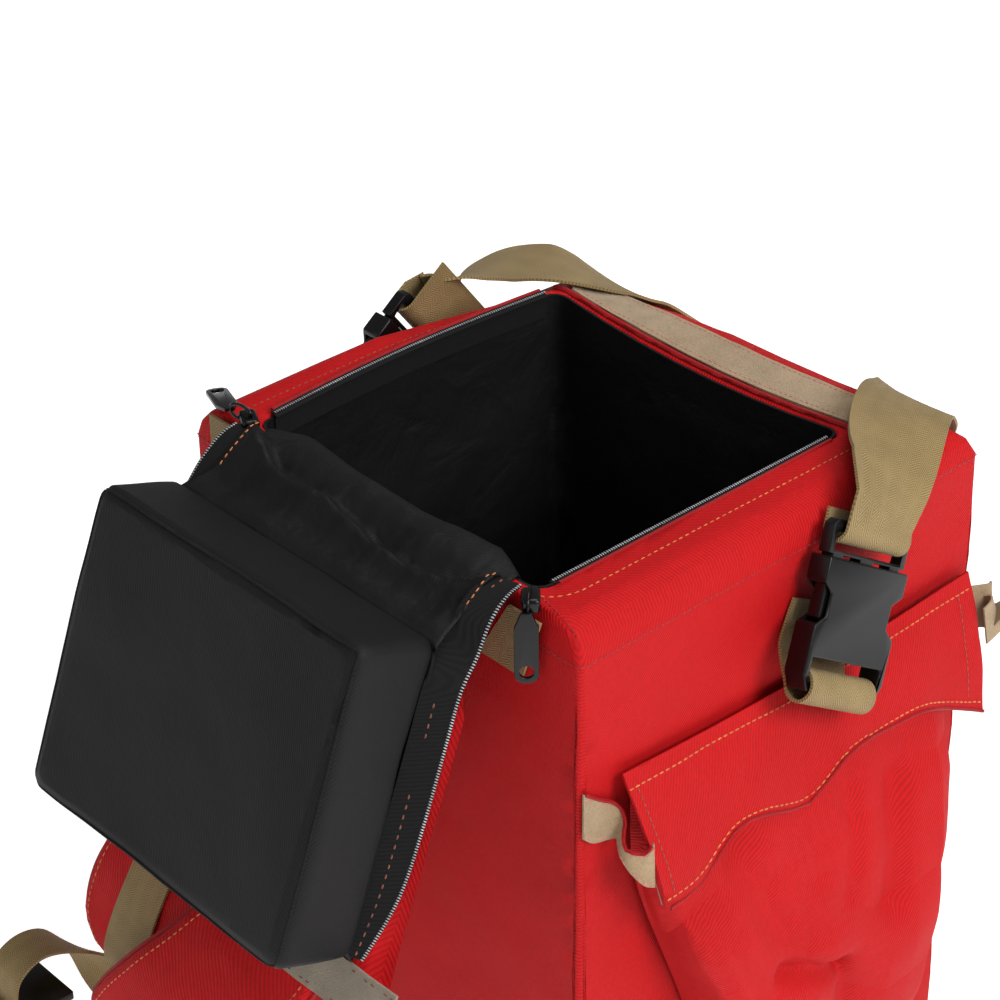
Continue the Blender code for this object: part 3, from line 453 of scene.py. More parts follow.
def mouldedPlastic(name, colour, worn, roughness):
    # acetal, injection moulded: a fine spark texture and paler rubbed patches at random
    look, tree, shader = newLook(name, roughness, specular=0.3)
    place = addNode(tree, "ShaderNodeTexCoord").outputs["Object"]
    spark = addNode(tree, "ShaderNodeTexNoise", {"Scale": 1800.0, "Detail": 2.0}, {"Vector": place}).outputs["Fac"]
    rubbed = addNode(tree, "ShaderNodeTexNoise", {"Scale": 45.0, "Detail": 4.0}, {"Vector": place}).outputs["Fac"]
    tree.links.new(blendColours(tree, rubbed, colour, worn, 0.35, 0.75), shader.inputs["Base Color"])
    bump = addNode(tree, "ShaderNodeBump", {"Strength": 0.35, "Distance": 0.0001}, {"Height": spark})
    tree.links.new(bump.outputs["Normal"], shader.inputs["Normal"])
    return look


def plainThread(name, colour, dark):
    # bonded nylon thread, twisted, slightly glossy
    look, tree, shader = newLook(name, 0.5, specular=0.5, sheen=0.2)
    place = addNode(tree, "ShaderNodeTexCoord").outputs["Object"]
    twist = addNode(tree, "ShaderNodeTexNoise", {"Scale": 400.0, "Detail": 1.0}, {"Vector": place}).outputs["Fac"]
    tree.links.new(blendColours(tree, twist, dark, colour, 0.3, 0.7), shader.inputs["Base Color"])
    return look


redCordura = twillCloth("cordura red", "#A40408", "#C8080F", 0.0014, 0.72, 0.00045, 0.0016, sheen=0.0)
redBinding = twillCloth("grosgrain binding red", "#86060C", "#AC0A12", 0.0009, 0.6, 0.0003, 0.0006, sheen=0.05)
blackNylon = twillCloth("lining nylon black", "#0B0B0D", "#141416", 0.0008, 0.56, 0.0002, 0.0030, sheen=0.0)
padNylon = twillCloth("oxford nylon charcoal", "#0B0B0C", "#131315", 0.0010, 0.62, 0.0002, 0.0010, sheen=0.0)
zipTape = twillCloth("zip tape black", "#0A0A0B", "#141415", 0.0009, 0.8, 0.0003, 0.0003, sheen=0.02)
tanWebbing = webbingCloth("nylon webbing tan", "#6E5B36", "#A48B5A")
loopTape = fuzzyLoop("loop tape tan", "#8E7656", "#B79C79")
hookTape = fuzzyLoop("hook tape grey tan", "#7E7262", "#A39682", 1500.0)
blackAcetal = mouldedPlastic("acetal black", "#050506", "#0B0B0C", 0.34)
sliderMetal = mouldedPlastic("painted zinc black", "#050506", "#0D0D0E", 0.26)
# the zip coil's pale grey is partly the nylon's own tone and partly a painted glint, light caught on each coil loop
# painted into the colour
coilToneAndGlint = mouldedPlastic("coil nylon grey with painted glint", "#9C9EA2", "#D2D4D8", 0.3)
orangeThread = plainThread("thread orange", "#D9803E", "#B25E2A")
rustThread = plainThread("thread rust", "#8E4A28", "#66331C")
pinkThread = plainThread("thread pink", "#D98A80", "#B4645A")
darkThread = plainThread("thread dark red", "#8A1219", "#640C12")
tanThread = plainThread("thread tan", "#9C8258", "#7A6340")
print("materials made")


# Body

bodyLook = {"edge": 0.011, "waves": ((0.060, 0.0022, 1.0), (0.022, 0.0007, 5.0), (0.010, 0.00025, 9.0))}


def wallWeight(co):
    # the open rim and the floor stay true, the walls may ripple
    height = (mouthZ - 0.022 - co.z) / 0.03
    low = (co.z - 0.006) / 0.03
    return max(0.0, min(1.0, height, low))


def makeBody():
    shell = copyOfNode("body_shell", "bodyShell")
    splitLongEdges(shell, bodyLook["edge"])
    crumple(shell, bodyLook["waves"], wallWeight)
    smoothFaces(shell, 35)
    dress(shell, redCordura, replaces=["body_shell"])
    return shell


bodyShell = makeBody()
lining = copyOfNode("body_lining", "bodyLining")
splitLongEdges(lining, 0.012)
crumple(lining, ((0.05, 0.0012, 3.0), (0.018, 0.0006, 2.0)), lambda co: min(1.0, max(0.0, (0.455 - co.z) / 0.02)))
smoothFaces(lining, 50)
dress(lining, blackNylon, replaces=["body_lining"])
print("body made")


# Rim: seam below the shoulder, topstitch, loop strip, zips

def rimSag(x, y, outer):
    front = min(max(y / 0.105, 0.0), 1.0)
    side = min(max(x / 0.105, -1.0), 1.0)
    corner = 0.024 * max(-side, 0.0) ** 2 + 0.003 * max(side, 0.0) ** 2
    return front * (0.008 * (1 - side * side) + corner * outer)


def seamRound(drop):
    # the outer walls' line, drop below the rim
    corners = ((0.1435, -0.115), (0.1435, 0.165), (-0.1435, 0.165), (-0.1435, -0.115), (0.1435, -0.115))
    path = []
    for a, b in zip(corners, corners[1:]):
        for i in range(24):
            x, y = mix(a[0], b[0], i / 24), mix(a[1], b[1], i / 24)
            path.append(rim(x, y, -drop - rimSag(x, y, 1.0)))
    path.append(path[0])
    return path


sew("rimSeamStitch", bodyShell, seamRound(0.019), darkThread, (0.0026, 0.0008, 0.0006), 0.0036)
topPath = [rim(0.118, mix(-0.086, 0.13, i / 24), 0.0) for i in range(25)]
cornerPath = [rim(mix(0.103, 0.118, math.sin(i * math.pi / 16)), mix(-0.108, -0.086, 1 - math.cos(i * math.pi / 16)), 0.0)
              for i in range(8)]
sew("rimTopstitchNear", bodyShell, cornerPath + topPath, orangeThread,
    (0.0030, 0.0008, 0.0007), 0.0042)
farPath = [rim(-0.119, mix(-0.10, 0.08, i / 20), 0.0) for i in range(21)]
sew("rimTopstitchFar", bodyShell, farPath, rustThread, (0.0028, 0.0007, 0.0006), 0.0042)
harnessPath = [rim(mix(0.105, 0.142, i / 6), mix(-0.1055, -0.1145, i / 6), 0.0) for i in range(7)]
sew("rimCornerStitch", bodyShell, harnessPath, darkThread, (0.0026, 0.0008, 0.0006), 0.0036)

strip = copyOfNode("rim_loop_strip", "rimLoopStrip")
splitLongEdges(strip, 0.006)
crumple(strip, ((0.02, 0.0006, 4.0),))
smoothFaces(strip, 40)
dress(strip, loopTape, replaces=["rim_loop_strip"])


def frontLine(inset, lift=0.0):
    out = []
    for i in range(41):
        x = mix(0.112, -0.112, i / 40)
        share = 1 - inset / 0.060
        y = 0.105 + inset
        out.append(rim(x, y, lift + 0.002 - rimSag(x, y, 1 - share)))
    return out


sew("loopStripStitchInner", strip, frontLine(0.0095), pinkThread, (0.0026, 0.0007, 0.0006), 0.0036)
sew("loopStripStitchOuter", strip, frontLine(0.0315), pinkThread, (0.0026, 0.0007, 0.0006), 0.0036)
cordAlong("loopStripPiping", frontLine(0.0035), 0.0016, redBinding, bodyShell, 0.0010)

mouthZips = {"near": (1, -0.001), "far": (-1, 0.0015)}
for side, (sign, top) in mouthZips.items():
    tape = copyOfNode("body_zip_" + side, "bodyZipTape" + side.capitalize())
    splitLongEdges(tape, 0.006)
    smoothFaces(tape)
    dress(tape, zipTape, replaces=["body_zip_" + side])
    bow = 0.005 if sign < 0 else 0.0
    line = []
    for i in range(61):
        y = mix(-0.094, 0.094, i / 60)
        x = sign * (0.1026 + bow * math.sin(math.pi * (y / 0.210 * 1.08 + 0.5)))
        line.append(rim(x, y, top + 0.0008))
    outerLine = [place + Vector((sign * 0.0026, 0, 0.0)) for place in line]
    innerLine = [place - Vector((sign * 0.0022, 0, 0.0016)) for place in line]
    ledge = layStrip("mouthZipLedge" + side.capitalize(), outerLine, innerLine, 0.0006)
    dress(ledge, zipTape)
    spots = [(place + Vector((0, 0, 0.0004)), Vector((0, 0, 1)).cross(along), Vector((0, 0, 1)))
             for place, along in walk(line, 0.00145)]
    teeth = repeatAlong("mouthTeeth" + side.capitalize(), unitBead("tooth", (0.0020, 0.0007, 0.0010)), spots)
    dress(teeth, coilToneAndGlint)
    edge = [place + Vector((sign * 0.0036, 0, -0.0002)) for place in line]
    cordAlong("mouthPiping" + side.capitalize(), edge, 0.0013, redBinding)
print("rim made")


# Lid

liningFolds = {
    "valley": ((-0.090, -0.116), (-0.058, -0.129), (-0.003, -0.1305), (0.038, -0.136), (0.073, -0.130), (0.095, -0.114)),
    "rise": 0.0034,
    "roll": 0.0130,
    "drop": 0.0052,
    "lip": 0.0050,
    "reach": 0.0180,
}


valleyLine = [Vector(spot) for spot in smoothPath(liningFolds["valley"], 5)]


def foldHeight(co):
    # a roll on the pad's side of the fold line that hangs over a sharp valley
    best, side = 1.0, 1.0
    spot = Vector((co.x, co.y - mouthY))
    for a, b in zip(valleyLine, valleyLine[1:]):
        run = b - a
        share = max(0.0, min(1.0, (spot - a).dot(run) / run.length_squared))
        off = spot - (a + run * share)
        if off.length < best:
            best = off.length
            side = 1.0 if run.x * off.y - run.y * off.x > 0 else -1.0
    if side < 0:
        return liningFolds["rise"] * math.exp(-best / liningFolds["roll"])
    fall = min(1.0, best / liningFolds["lip"])
    back = max(0.0, 1.0 - max(0.0, best - liningFolds["lip"]) / liningFolds["reach"])
    return mix(liningFolds["rise"], -liningFolds["drop"] * back, fall)


def makeLidLining():
    lining = copyOfNode("lid_lining", "lidLining")
    splitLongEdges(lining, 0.0030)
    for vertex in lining.data.vertices:
        co = vertex.co
        onRim = max(0.0, min(1.0, (co.z - 0.455) / 0.008))
        inside = max(0.0, min(1.0, (co.y - mouthY + 0.118) / 0.012))
        slack = 0.006 * inside * (0.55 + 0.45 * math.sin(co.x * 34 + co.z * 60 + 1.2))
        ends = max(0.0, min(1.0, (0.092 - abs(co.x)) / 0.02))
        co.z += foldHeight(co) * onRim
        co.y += slack * ends
    crumple(lining, ((0.034, 0.0012, 6.0), (0.012, 0.0003, 2.0)),
            lambda co: max(0.0, min(1.0, (co.z - 0.450) / 0.01)))
    smoothFaces(lining, 80)
    dress(lining, blackNylon, replaces=["lid_lining"])
    return lining


lidLining = makeLidLining()

lidShell = copyOfNode("lid_shell", "lidShell")
splitLongEdges(lidShell, 0.010)
crumple(lidShell, ((0.04, 0.0012, 2.0), (0.015, 0.0005, 3.0)))
smoothFaces(lidShell, 40)
dress(lidShell, redCordura, replaces=["lid_shell"])

padSize = {"half": 0.0975, "high": 0.163, "thick": 0.0495}


def padWeight(co):
    return 1.0


def makePad():
    pad = copyOfNode("lid_pad", "lidPad")
    splitLongEdges(pad, 0.007)
    crumple(pad, ((0.080, 0.0020, 1.0), (0.030, 0.0006, 4.0)), padWeight)
    smoothFaces(pad, 45)
    dress(pad, padNylon, replaces=["lid_pad"])
    return pad


lidPad = makePad()


def padOutline(out, inset):
    half, high = padSize["half"] - inset, padSize["high"] - inset
    corners = ((-half, inset), (half, inset), (half, high), (-half, high), (-half, inset))
    path = []
    for a, b in zip(corners, corners[1:]):
        path += [lidPoint(mix(a[0], b[0], i / 20), mix(a[1], b[1], i / 20), out) for i in range(20)]
    return path + [path[0]]


cordAlong("padSeam", padOutline(padSize["thick"] - 0.0015, 0.001), 0.0008, zipTape, lidPad, 0.0)

tapeRows = {
    # teeth x, y, z and inner edge x, y, z, from the slider down to the pad
    "near": (
        (0.1010, -0.1110, 0.0045, 0.0870, -0.1165, 0.0060),
        (0.1030, -0.1230, 0.0030, 0.0870, -0.1290, 0.0045),
        (0.1045, -0.1340, -0.0050, 0.0880, -0.1400, -0.0020),
        (0.1060, -0.1430, -0.0180, 0.0890, -0.1500, -0.0120)),
    "far": (
        (0.1030, -0.1180, 0.0065, 0.0850, -0.1135, 0.0050),
        (0.1035, -0.1270, 0.0040, 0.0850, -0.1220, 0.0060),
        (0.1040, -0.1370, -0.0030, 0.0860, -0.1320, 0.0020),
        (0.1050, -0.1450, -0.0120, 0.0870, -0.1410, -0.0060)),
}


def lidTapeEdges(side, sign):
    teeth, inner = [], []
    for row in tapeRows[side]:
        teeth.append(rim(sign * row[0], row[1], row[2]))
        inner.append(rim(sign * row[3], row[4], row[5]))
    for down in (0.022, 0.05, 0.09, 0.12, 0.14, 0.163):
        curl = 0.75 * max(0.0, (down - 0.10) / 0.063) ** 2
        teeth.append(lidPoint(sign * mix(0.1080, 0.0988, curl), down, mix(-0.0126, -0.0012, curl)))
        inner.append(lidPoint(sign * 0.0950, down, 0.0002))
    smooth = smoothPath([tuple(a) + tuple(b) for a, b in zip(teeth, inner)], 6)
    return [Vector(row[:3]) for row in smooth], [Vector(row[3:]) for row in smooth]


for side, sign in (("near", 1), ("far", -1)):
    teethEdge, innerEdge = lidTapeEdges(side, sign)
    tape = layStrip("lidZipTape" + side.capitalize(), teethEdge, innerEdge, 0.001)
    dress(tape, zipTape, replaces=["lid_zip_" + side])
    spots = []
    for (place, along), (other, ignored) in zip(walk(teethEdge, 0.00145), walk(innerEdge, 0.00145)):
        across = (other - place).normalized()
        up = across.cross(along) * sign
        spots.append((place + across * 0.0008 + up * 0.0004, across, up))
    teeth = repeatAlong("lidTeeth" + side.capitalize(), unitBead("tooth", (0.0020, 0.0008, 0.0010)), spots)
    dress(teeth, coilToneAndGlint)
    stitch = [a.lerp(b, 0.6) for a, b in zip(teethEdge, innerEdge)]
    sew("lidTapeStitch" + side.capitalize(), tape, stitch, rustThread,
        (0.0026, 0.0010, 0.0008), 0.0052)

liningStitches = {
    "Near": ((0.0880, -0.1165, 0.012), (0.0885, -0.1290, 0.010), (0.0895, -0.1400, 0.002)),
    "Far": ((-0.0885, -0.1130, 0.012), (-0.0885, -0.1222, 0.012), (-0.0885, -0.1318, 0.008), (-0.0885, -0.1406, 0.000)),
}
for side, line in liningStitches.items():
    path = smoothPath([tuple(rim(*spot)) for spot in line], 6)
    sew("liningStitch" + side, lidLining, [Vector(spot) for spot in path], orangeThread,
        (0.0028, 0.0009, 0.0008), 0.0042)

hookEdges = []
for down in (0.1668, 0.1928):
    hookEdges.append([lidPoint(mix(-0.128, 0.128, i / 40), down, -0.0026 + 0.0004 * math.sin(i * 0.9))
                      for i in range(41)])
hookStrip = layStrip("lidHookStrip", hookEdges[0], hookEdges[1], 0.0016)
dress(hookStrip, hookTape, replaces=["lid_hook_strip"])
for name, share in (("Upper", 0.1), ("Lower", 0.9)):
    path = [a.lerp(b, share) for a, b in zip(*hookEdges)]
    sew("hookStripStitch" + name, hookStrip, path, rustThread, (0.0030, 0.0009, 0.0008), 0.0045)
print("lid made")


# Zip sliders, pulls and tabs

for side in ("near", "far"):
    slider = copyOfNode("zip_slider_" + side, "zipSlider" + side.capitalize())
    bevel = slider.modifiers.new("round", "BEVEL")
    bevel.width = 0.0022
    bevel.segments = 4
    applyAll(slider)
    smoothFaces(slider, 60)
    dress(slider, sliderMetal, replaces=["zip_slider_" + side])
    pull = copyOfNode("zip_pull_" + side, "zipPull" + side.capitalize())
    bevel = pull.modifiers.new("round", "BEVEL")
    bevel.width = 0.0006
    bevel.segments = 3
    bevel.limit_method = "ANGLE"
    applyAll(pull)
    smoothFaces(pull, 50)
    dress(pull, sliderMetal, body=side + "_pull", replaces=["zip_pull_" + side])

bails = {
    "near": {"place": (0.1140, -0.1190, 0.0072), "along": (0.67, -0.74, -0.25), "across": (0.74, 0.67, 0.0)},
    "far": {"place": (-0.1040, -0.1140, 0.0105), "along": (-0.95, -0.25, 0.05), "across": (-0.25, 0.95, 0.0)},
}
for side, bail in bails.items():
    # the wire arch that carries the pull
    for other in bpy.context.selected_objects:
        other.select_set(False)
    bpy.ops.mesh.primitive_torus_add(major_radius=0.0042, minor_radius=0.0009, major_segments=28, minor_segments=8)
    arch = bpy.context.object
    arch.name = "zipBail" + side.capitalize()
    along = Vector(bail["along"]).normalized()
    across = Vector(bail["across"])
    across = (across - along * across.dot(along)).normalized()
    up = along.cross(across)
    if up.z < 0:
        up = -up
    turned = Matrix((along * 1.5, up, along.cross(up))).transposed().to_4x4()
    arch.data.transform(Matrix.Translation(rim(*bail["place"])) @ turned)
    arch.data.update()
    smoothFaces(arch, 60)
    dress(arch, sliderMetal)

tabs = {
    "near": ((0.098, 0.0770), (0.1195, 0.1070), -0.005, -0.041),
    "far": ((-0.1265, -0.1265), (-0.1020, -0.1020), 0.001, -0.022),
}
tabY = -0.105 - 0.010 - 0.0006 - 0.0003 - 0.0008
for side, (left, right, top, bottom) in tabs.items():
    lefts = [rim(mix(*left, i / 8), tabY, mix(top, bottom, i / 8)) for i in range(9)]
    rights = [rim(mix(*right, i / 8), tabY, mix(top, bottom, i / 8)) for i in range(9)]
    tab = layStrip("zipTab" + side.capitalize(), lefts, rights, 0.0016)
    dress(tab, tanWebbing, replaces=["zip_tab_" + side])
print("zips made")


# Carry strap, buckles and their webbing

webbing = {"width": 0.050, "thick": 0.0016}
carryRoute = (
    (-0.1646, 0.0649, -0.0166, -0.99, -0.11, 0.13),
    (-0.1642, 0.0733, -0.0118, -0.85, -0.08, 0.51),
    (-0.1596, 0.0824, -0.0056, -0.59, -0.04, 0.81),
    (-0.1519, 0.0942, -0.0020, -0.33, -0.01, 0.95),
    (-0.1414, 0.1071, 0.0008, -0.15, -0.01, 0.99),
    (-0.1255, 0.1206, 0.0022, 0.04, 0.16, 0.99),
    (-0.1131, 0.1361, -0.0049, 0.10, 0.40, 0.90),
    (-0.1040, 0.1520, -0.0160, 0.04, 0.64, 0.76),
    (-0.0900, 0.1660, -0.0330, -0.05, 0.88, 0.46),
    (-0.0600, 0.1760, -0.0540, -0.03, 0.98, 0.15),
    (-0.0150, 0.1780, -0.0700, 0.0, 1.0, 0.0),
    (0.0350, 0.1770, -0.0670, 0.0, 1.0, 0.0),
    (0.0780, 0.1765, -0.0480, 0.0, 1.0, 0.1),
    (0.0910, 0.1745, -0.0240, 0.0, 1.0, 0.30),
    (0.0990, 0.1665, -0.0110, 0.0, 0.75, 0.7),
    (0.1080, 0.1490, 0.0014, 0.1, 0.25, 1.0),
    (0.1200, 0.1290, 0.0048, 0.25, 0.05, 0.95),
    (0.1335, 0.1090, 0.0025, 0.50, 0.0, 0.85),
    (0.1470, 0.0910, -0.0025, 0.80, 0.05, 0.6),
)
buckles = {
    "near": {"lead": 0.0120, "tail": 0.0084, "place": (0.1577, 0.0602, -0.0339),
             "across": (0.09, 0.85, -0.52), "down": (0.22, -0.51, -0.83)},
    "far": {"lead": 0.0040, "tail": 0.0280, "place": (-0.1565, 0.0422, -0.0310),
            "across": (0.0, -0.60, 0.80), "down": (0.0, -0.80, -0.60)},
}
anchorEnds = {
    "near": ((0.1516, 0.0345, -0.0790, 1.0, 0.0, 0.2), (0.1475, 0.0425, -0.0660, 1.0, 0.0, 0.1),
             (0.1457, 0.0480, -0.0560, 1.0, 0.0, 0.0)),
    "far": ((-0.1474, -0.0056, -0.0665, -1.0, 0.0, 0.0), (-0.1457, 0.0114, -0.0540, -1.0, 0.0, 0.0)),
}


def buckleAxes(row):
    x = Vector(row["across"]).normalized()
    y = -Vector(row["down"])
    y = (y - x * y.dot(x)).normalized()
    turned = Matrix((x, y, x.cross(y))).transposed().to_4x4()
    return Matrix.Translation(rim(*row["place"])) @ turned


def wrapBar(axes, centre, radius, start, end, steps):
    places, facing = [], []
    for i in range(steps + 1):
        turn = math.radians(mix(start, end, i / steps))
        out = Vector((0, math.cos(turn), math.sin(turn)))
        places.append(axes @ (Vector((0, centre, 0)) + out * radius))
        facing.append(axes.to_3x3() @ out)
    return places, facing


def plugLoop(row):
    axes = buckleAxes(row)
    turned = axes.to_3x3()
    places = [axes @ Vector((0, 0.0150 + row["lead"], 0.0070))]
    facing = [turned @ Vector((0, 0, 1))]
    loop, loopFacing = wrapBar(axes, 0.0150, 0.0070, 90, 270, 16)
    places += loop + [axes @ Vector((0, 0.0150 + row["tail"], -0.0070))]
    facing += loopFacing + [turned @ Vector((0, 0, -1))]
    return places, facing


def makeCarryStrap():
    rows = smoothPath(carryRoute, 6)
    near, nearFacing = plugLoop(buckles["near"])
    far, farFacing = plugLoop(buckles["far"])
    places = far[::-1] + [rim(*row[:3]) for row in rows] + near
    facing = farFacing[::-1] + [Vector(row[3:6]) for row in rows] + nearFacing
    strap = layBand("carryStrap", places, facing, webbing["width"], webbing["thick"], 8)
    dress(strap, tanWebbing, replaces=["carry_strap"])
    return strap, places


carryStrap, carryPlaces = makeCarryStrap()
for side, row in buckles.items():
    axes = buckleAxes(row)
    places, facing = wrapBar(axes, -0.0635, 0.0082, -50, 250, 24)
    ends = [(tuple(places[-1]) + tuple(facing[-1]))]
    for end in anchorEnds[side]:
        ends.append(tuple(rim(*end[:3])) + tuple(-Vector(end[3:6])))
    for row6 in smoothPath(ends, 5)[1:]:
        places.append(Vector(row6[:3]))
        facing.append(Vector(row6[3:]))
    anchor = layBand(side + "AnchorWebbing", places, facing, webbing["width"], webbing["thick"], 6)
    dress(anchor, tanWebbing, replaces=[side + "_anchor_webbing"])
    for part in ("socket", "plug"):
        piece = copyOfNode(side + "_buckle_" + part, side + "Buckle" + part.capitalize())
        bevel = piece.modifiers.new("round", "BEVEL")
        bevel.width = 0.0012
        bevel.segments = 3
        bevel.limit_method = "ANGLE"
        bevel.angle_limit = math.radians(25)
        applyAll(piece)
        smoothFaces(piece, 40)
        dress(piece, blackAcetal, replaces=[side + "_buckle_" + part])
print("carry strap made")


# Side pocket

pocketFolds = (
    # from y, z to y, z, how deep and how wide
    {"start": (-0.033, -0.150), "end": (-0.004, -0.239), "deep": 0.0045, "wide": 0.0110},
    {"start": (-0.010, -0.240), "end": (0.035, -0.258), "deep": 0.0070, "wide": 0.0060},
    {"start": (0.036, -0.258), "end": (0.040, -0.310), "deep": 0.0065, "wide": 0.0080},
    {"start": (0.082, -0.172), "end": (0.072, -0.236), "deep": 0.0060, "wide": 0.0110},
    {"start": (0.051, -0.162), "end": (0.040, -0.215), "deep": 0.0035, "wide": 0.0070},
    {"start": (-0.060, -0.175), "end": (-0.020, -0.262), "deep": 0.0030, "wide": 0.0090},
)


def foldDepth(co):
    # how far the pocket's cloth is drawn in by its folds at this point
    total = 0.0
    spot = Vector((co.y - mouthY, co.z - mouthZ))
    for fold in pocketFolds:
        start, end = Vector(fold["start"]), Vector(fold["end"])
        run = end - start
        share = max(0.0, min(1.0, (spot - start).dot(run) / run.length_squared))
        off = (spot - (start + run * share)).length
        total += fold["deep"] * math.exp(-(off / fold["wide"]) ** 2)
    return total


def makePocket():
    pocket = copyOfNode("pocket_body", "pocketBody")
    splitLongEdges(pocket, 0.0045)
    for vertex in pocket.data.vertices:
        vertex.co.x -= foldDepth(vertex.co) * pocketWeight(vertex.co)
    crumple(pocket, ((0.060, 0.0045, 2.0), (0.026, 0.0012, 7.0)), pocketWeight)
    smoothFaces(pocket, 60)
    dress(pocket, redCordura, replaces=["pocket_body"])
    return pocket


def pocketWeight(co):
    return max(0.0, min(1.0, (co.x - 0.1485) / 0.008))


def makeFlap():
    flap = copyOfNode("pocket_flap", "pocketFlap")
    splitLongEdges(flap, 0.006)
    crumple(flap, ((0.06, 0.0024, 5.0), (0.025, 0.0008, 1.0)), pocketWeight)
    smoothFaces(flap, 60)
    dress(flap, redCordura, replaces=["pocket_flap"])
    return flap


pocketBody = makePocket()
pocketFlap = makeFlap()
pocketX = 0.1435 + 0.003 + 0.0003
flapRows = (
    (-0.093, -0.086, 0.0245, -0.157), (-0.070, -0.062, 0.0220, -0.156),
    (-0.040, -0.036, 0.0195, -0.141), (-0.015, -0.014, 0.0195, -0.142),
    (0.018, 0.020, 0.0185, -0.153), (0.045, 0.045, 0.0200, -0.138),
    (0.080, 0.080, 0.0175, -0.138), (0.115, 0.112, 0.0170, -0.143),
    (0.157, 0.156, 0.0185, -0.166),
)


def flapLine(down, lift=0.0):
    path = []
    for topY, y, out, z in smoothPath(flapRows, 6):
        start = -0.087 - 0.005 * math.sin(math.pi * (topY + 0.093) / 0.25)
        x = pocketX + 0.0015 + out * down + 0.0025 * math.sin(math.pi * down) + lift
        path.append(rim(x, mix(topY, y, down), mix(start, z, down)))
    return path


sideLines = {
    "Near": [flapLine(i / 12, 0.006)[2] for i in range(1, 12)],
    "Far": [flapLine(i / 12, 0.006)[-3] for i in range(1, 12)],
}
sew("flapTopstitch", pocketFlap, flapLine(0.08, 0.006), orangeThread, (0.0032, 0.0010, 0.0008), 0.0040)
sew("flapHemStitch", pocketFlap, flapLine(0.92, 0.006), orangeThread, (0.0032, 0.0010, 0.0008), 0.0040)
for side, line in sideLines.items():
    sew("flapSideStitch" + side, pocketFlap, line, rustThread, (0.0030, 0.0008, 0.0006), 0.0040)
cordAlong("flapHem", flapLine(1.0, 0.002), 0.0010, redBinding, pocketFlap, 0.0001)

mouthRows = (
    (0.1452, -0.1145, -0.0895, -0.1145, -0.1160), (0.1452, -0.1035, -0.0985, -0.1080, -0.1218),
    (0.1462, -0.0962, -0.1033, -0.0986, -0.1240), (0.1485, -0.0925, -0.1083, -0.0954, -0.1240),
    (0.1520, -0.0935, -0.1131, -0.0980, -0.1245), (0.1550, -0.0975, -0.1183, -0.0996, -0.1279),
    (0.1590, -0.0996, -0.1225, -0.1001, -0.1313), (0.1630, -0.0975, -0.1233, -0.0987, -0.1364),
    (0.1665, -0.0935, -0.1238, -0.0940, -0.1430), (0.1680, -0.0900, -0.1180, -0.0888, -0.1457),
)
smoothRows = smoothPath(mouthRows, 6)
upperEdge = [rim(row[0], row[1], row[2]) for row in smoothRows]
lowerEdge = [rim(row[0], row[3], row[4]) for row in smoothRows]
mouthStrip = layStrip("pocketLoopStrip", upperEdge, lowerEdge, 0.001)
dress(mouthStrip, loopTape, replaces=["pocket_loop_strip"])
for name, share in (("Upper", 0.1), ("Lower", 0.9)):
    path = [a.lerp(b, share) for a, b in zip(upperEdge, lowerEdge)]
    sew("pocketStripStitch" + name, mouthStrip, path, pinkThread, (0.0026, 0.0008, 0.0006), 0.0036)
cordAlong("pocketStripPiping", upperEdge, 0.0010, redBinding)

sideRoute = (
    (0.1452, 0.1450, -0.1120, 1.0, 0.0, 0.0), (0.1452, 0.1590, -0.1130, 1.0, 0.0, 0.0),
    (0.1495, 0.1720, -0.1150, 1.0, 0.2, 0.0), (0.1530, 0.1800, -0.1170, 0.0, 1.0, 0.0),
    (0.1565, 0.1740, -0.1190, -1.0, 0.2, 0.0), (0.1575, 0.1650, -0.1210, -1.0, 0.0, 0.0),
)
rows = smoothPath(sideRoute, 6)
sideStrip = layBand("pocketSideStrip", [rim(*row[:3]) for row in rows], [Vector(row[3:6]) for row in rows],
                    0.025, 0.001)
dress(sideStrip, loopTape, replaces=["pocket_side_strip"])
hookUnder = copyOfNode("flap_hook_strip", "flapHookStrip")
dress(hookUnder, hookTape, replaces=["flap_hook_strip"])
print("pocket made")


# Shoulder straps

strapRoutes = {
    "left": {"route": (
        (-0.0600, -0.1225, -0.0500, 0.0, -1.0, 0.0, 0.056), (-0.0600, -0.1250, -0.0850, 0.0, -1.0, 0.1, 0.058),
        (-0.0630, -0.1380, -0.1250, 0.0, -1.0, 0.4, 0.064), (-0.0680, -0.1680, -0.1640, 0.0, -1.0, 0.6, 0.074),
        (-0.0720, -0.1960, -0.2000, 0.0, -1.0, 0.5, 0.082), (-0.0760, -0.2150, -0.2350, 0.0, -1.0, 0.2, 0.088),
        (-0.0860, -0.2200, -0.2680, 0.0, -1.0, -0.1, 0.080), (-0.0930, -0.2170, -0.2880, 0.0, -1.0, -0.2, 0.060)),
        "from": 0.4, "base": -0.1180},
    "right": {"route": (
        (0.0020, -0.1225, -0.0500, 0.0, -1.0, 0.0, 0.056), (0.0020, -0.1250, -0.0850, 0.0, -1.0, 0.1, 0.058),
        (0.0060, -0.1380, -0.1250, 0.0, -1.0, 0.4, 0.064), (0.0150, -0.1680, -0.1620, 0.0, -1.0, 0.6, 0.070),
        (0.0190, -0.2000, -0.1960, 0.1, -1.0, 0.5, 0.076), (0.0010, -0.2270, -0.2310, 0.1, -1.0, 0.4, 0.080),
        (-0.0250, -0.2430, -0.2640, 0.1, -1.0, 0.2, 0.080), (-0.0520, -0.2480, -0.2960, 0.0, -1.0, 0.0, 0.074),
        (-0.0680, -0.2450, -0.3160, 0.0, -1.0, -0.1, 0.056)),
        "from": 0.75, "base": 0.0950},
}
strapThick = 0.012
lockSize = (0.036, 0.026, 0.005)


def strapSides(places, facing):
    # the direction across and outward at each place
    out = []
    for i in range(len(places)):
        ahead = places[min(i + 1, len(places) - 1)] - places[max(i - 1, 0)]
        across = ahead.cross(facing[i]).normalized()
        out.append((across, across.cross(ahead).normalized()))
    return out


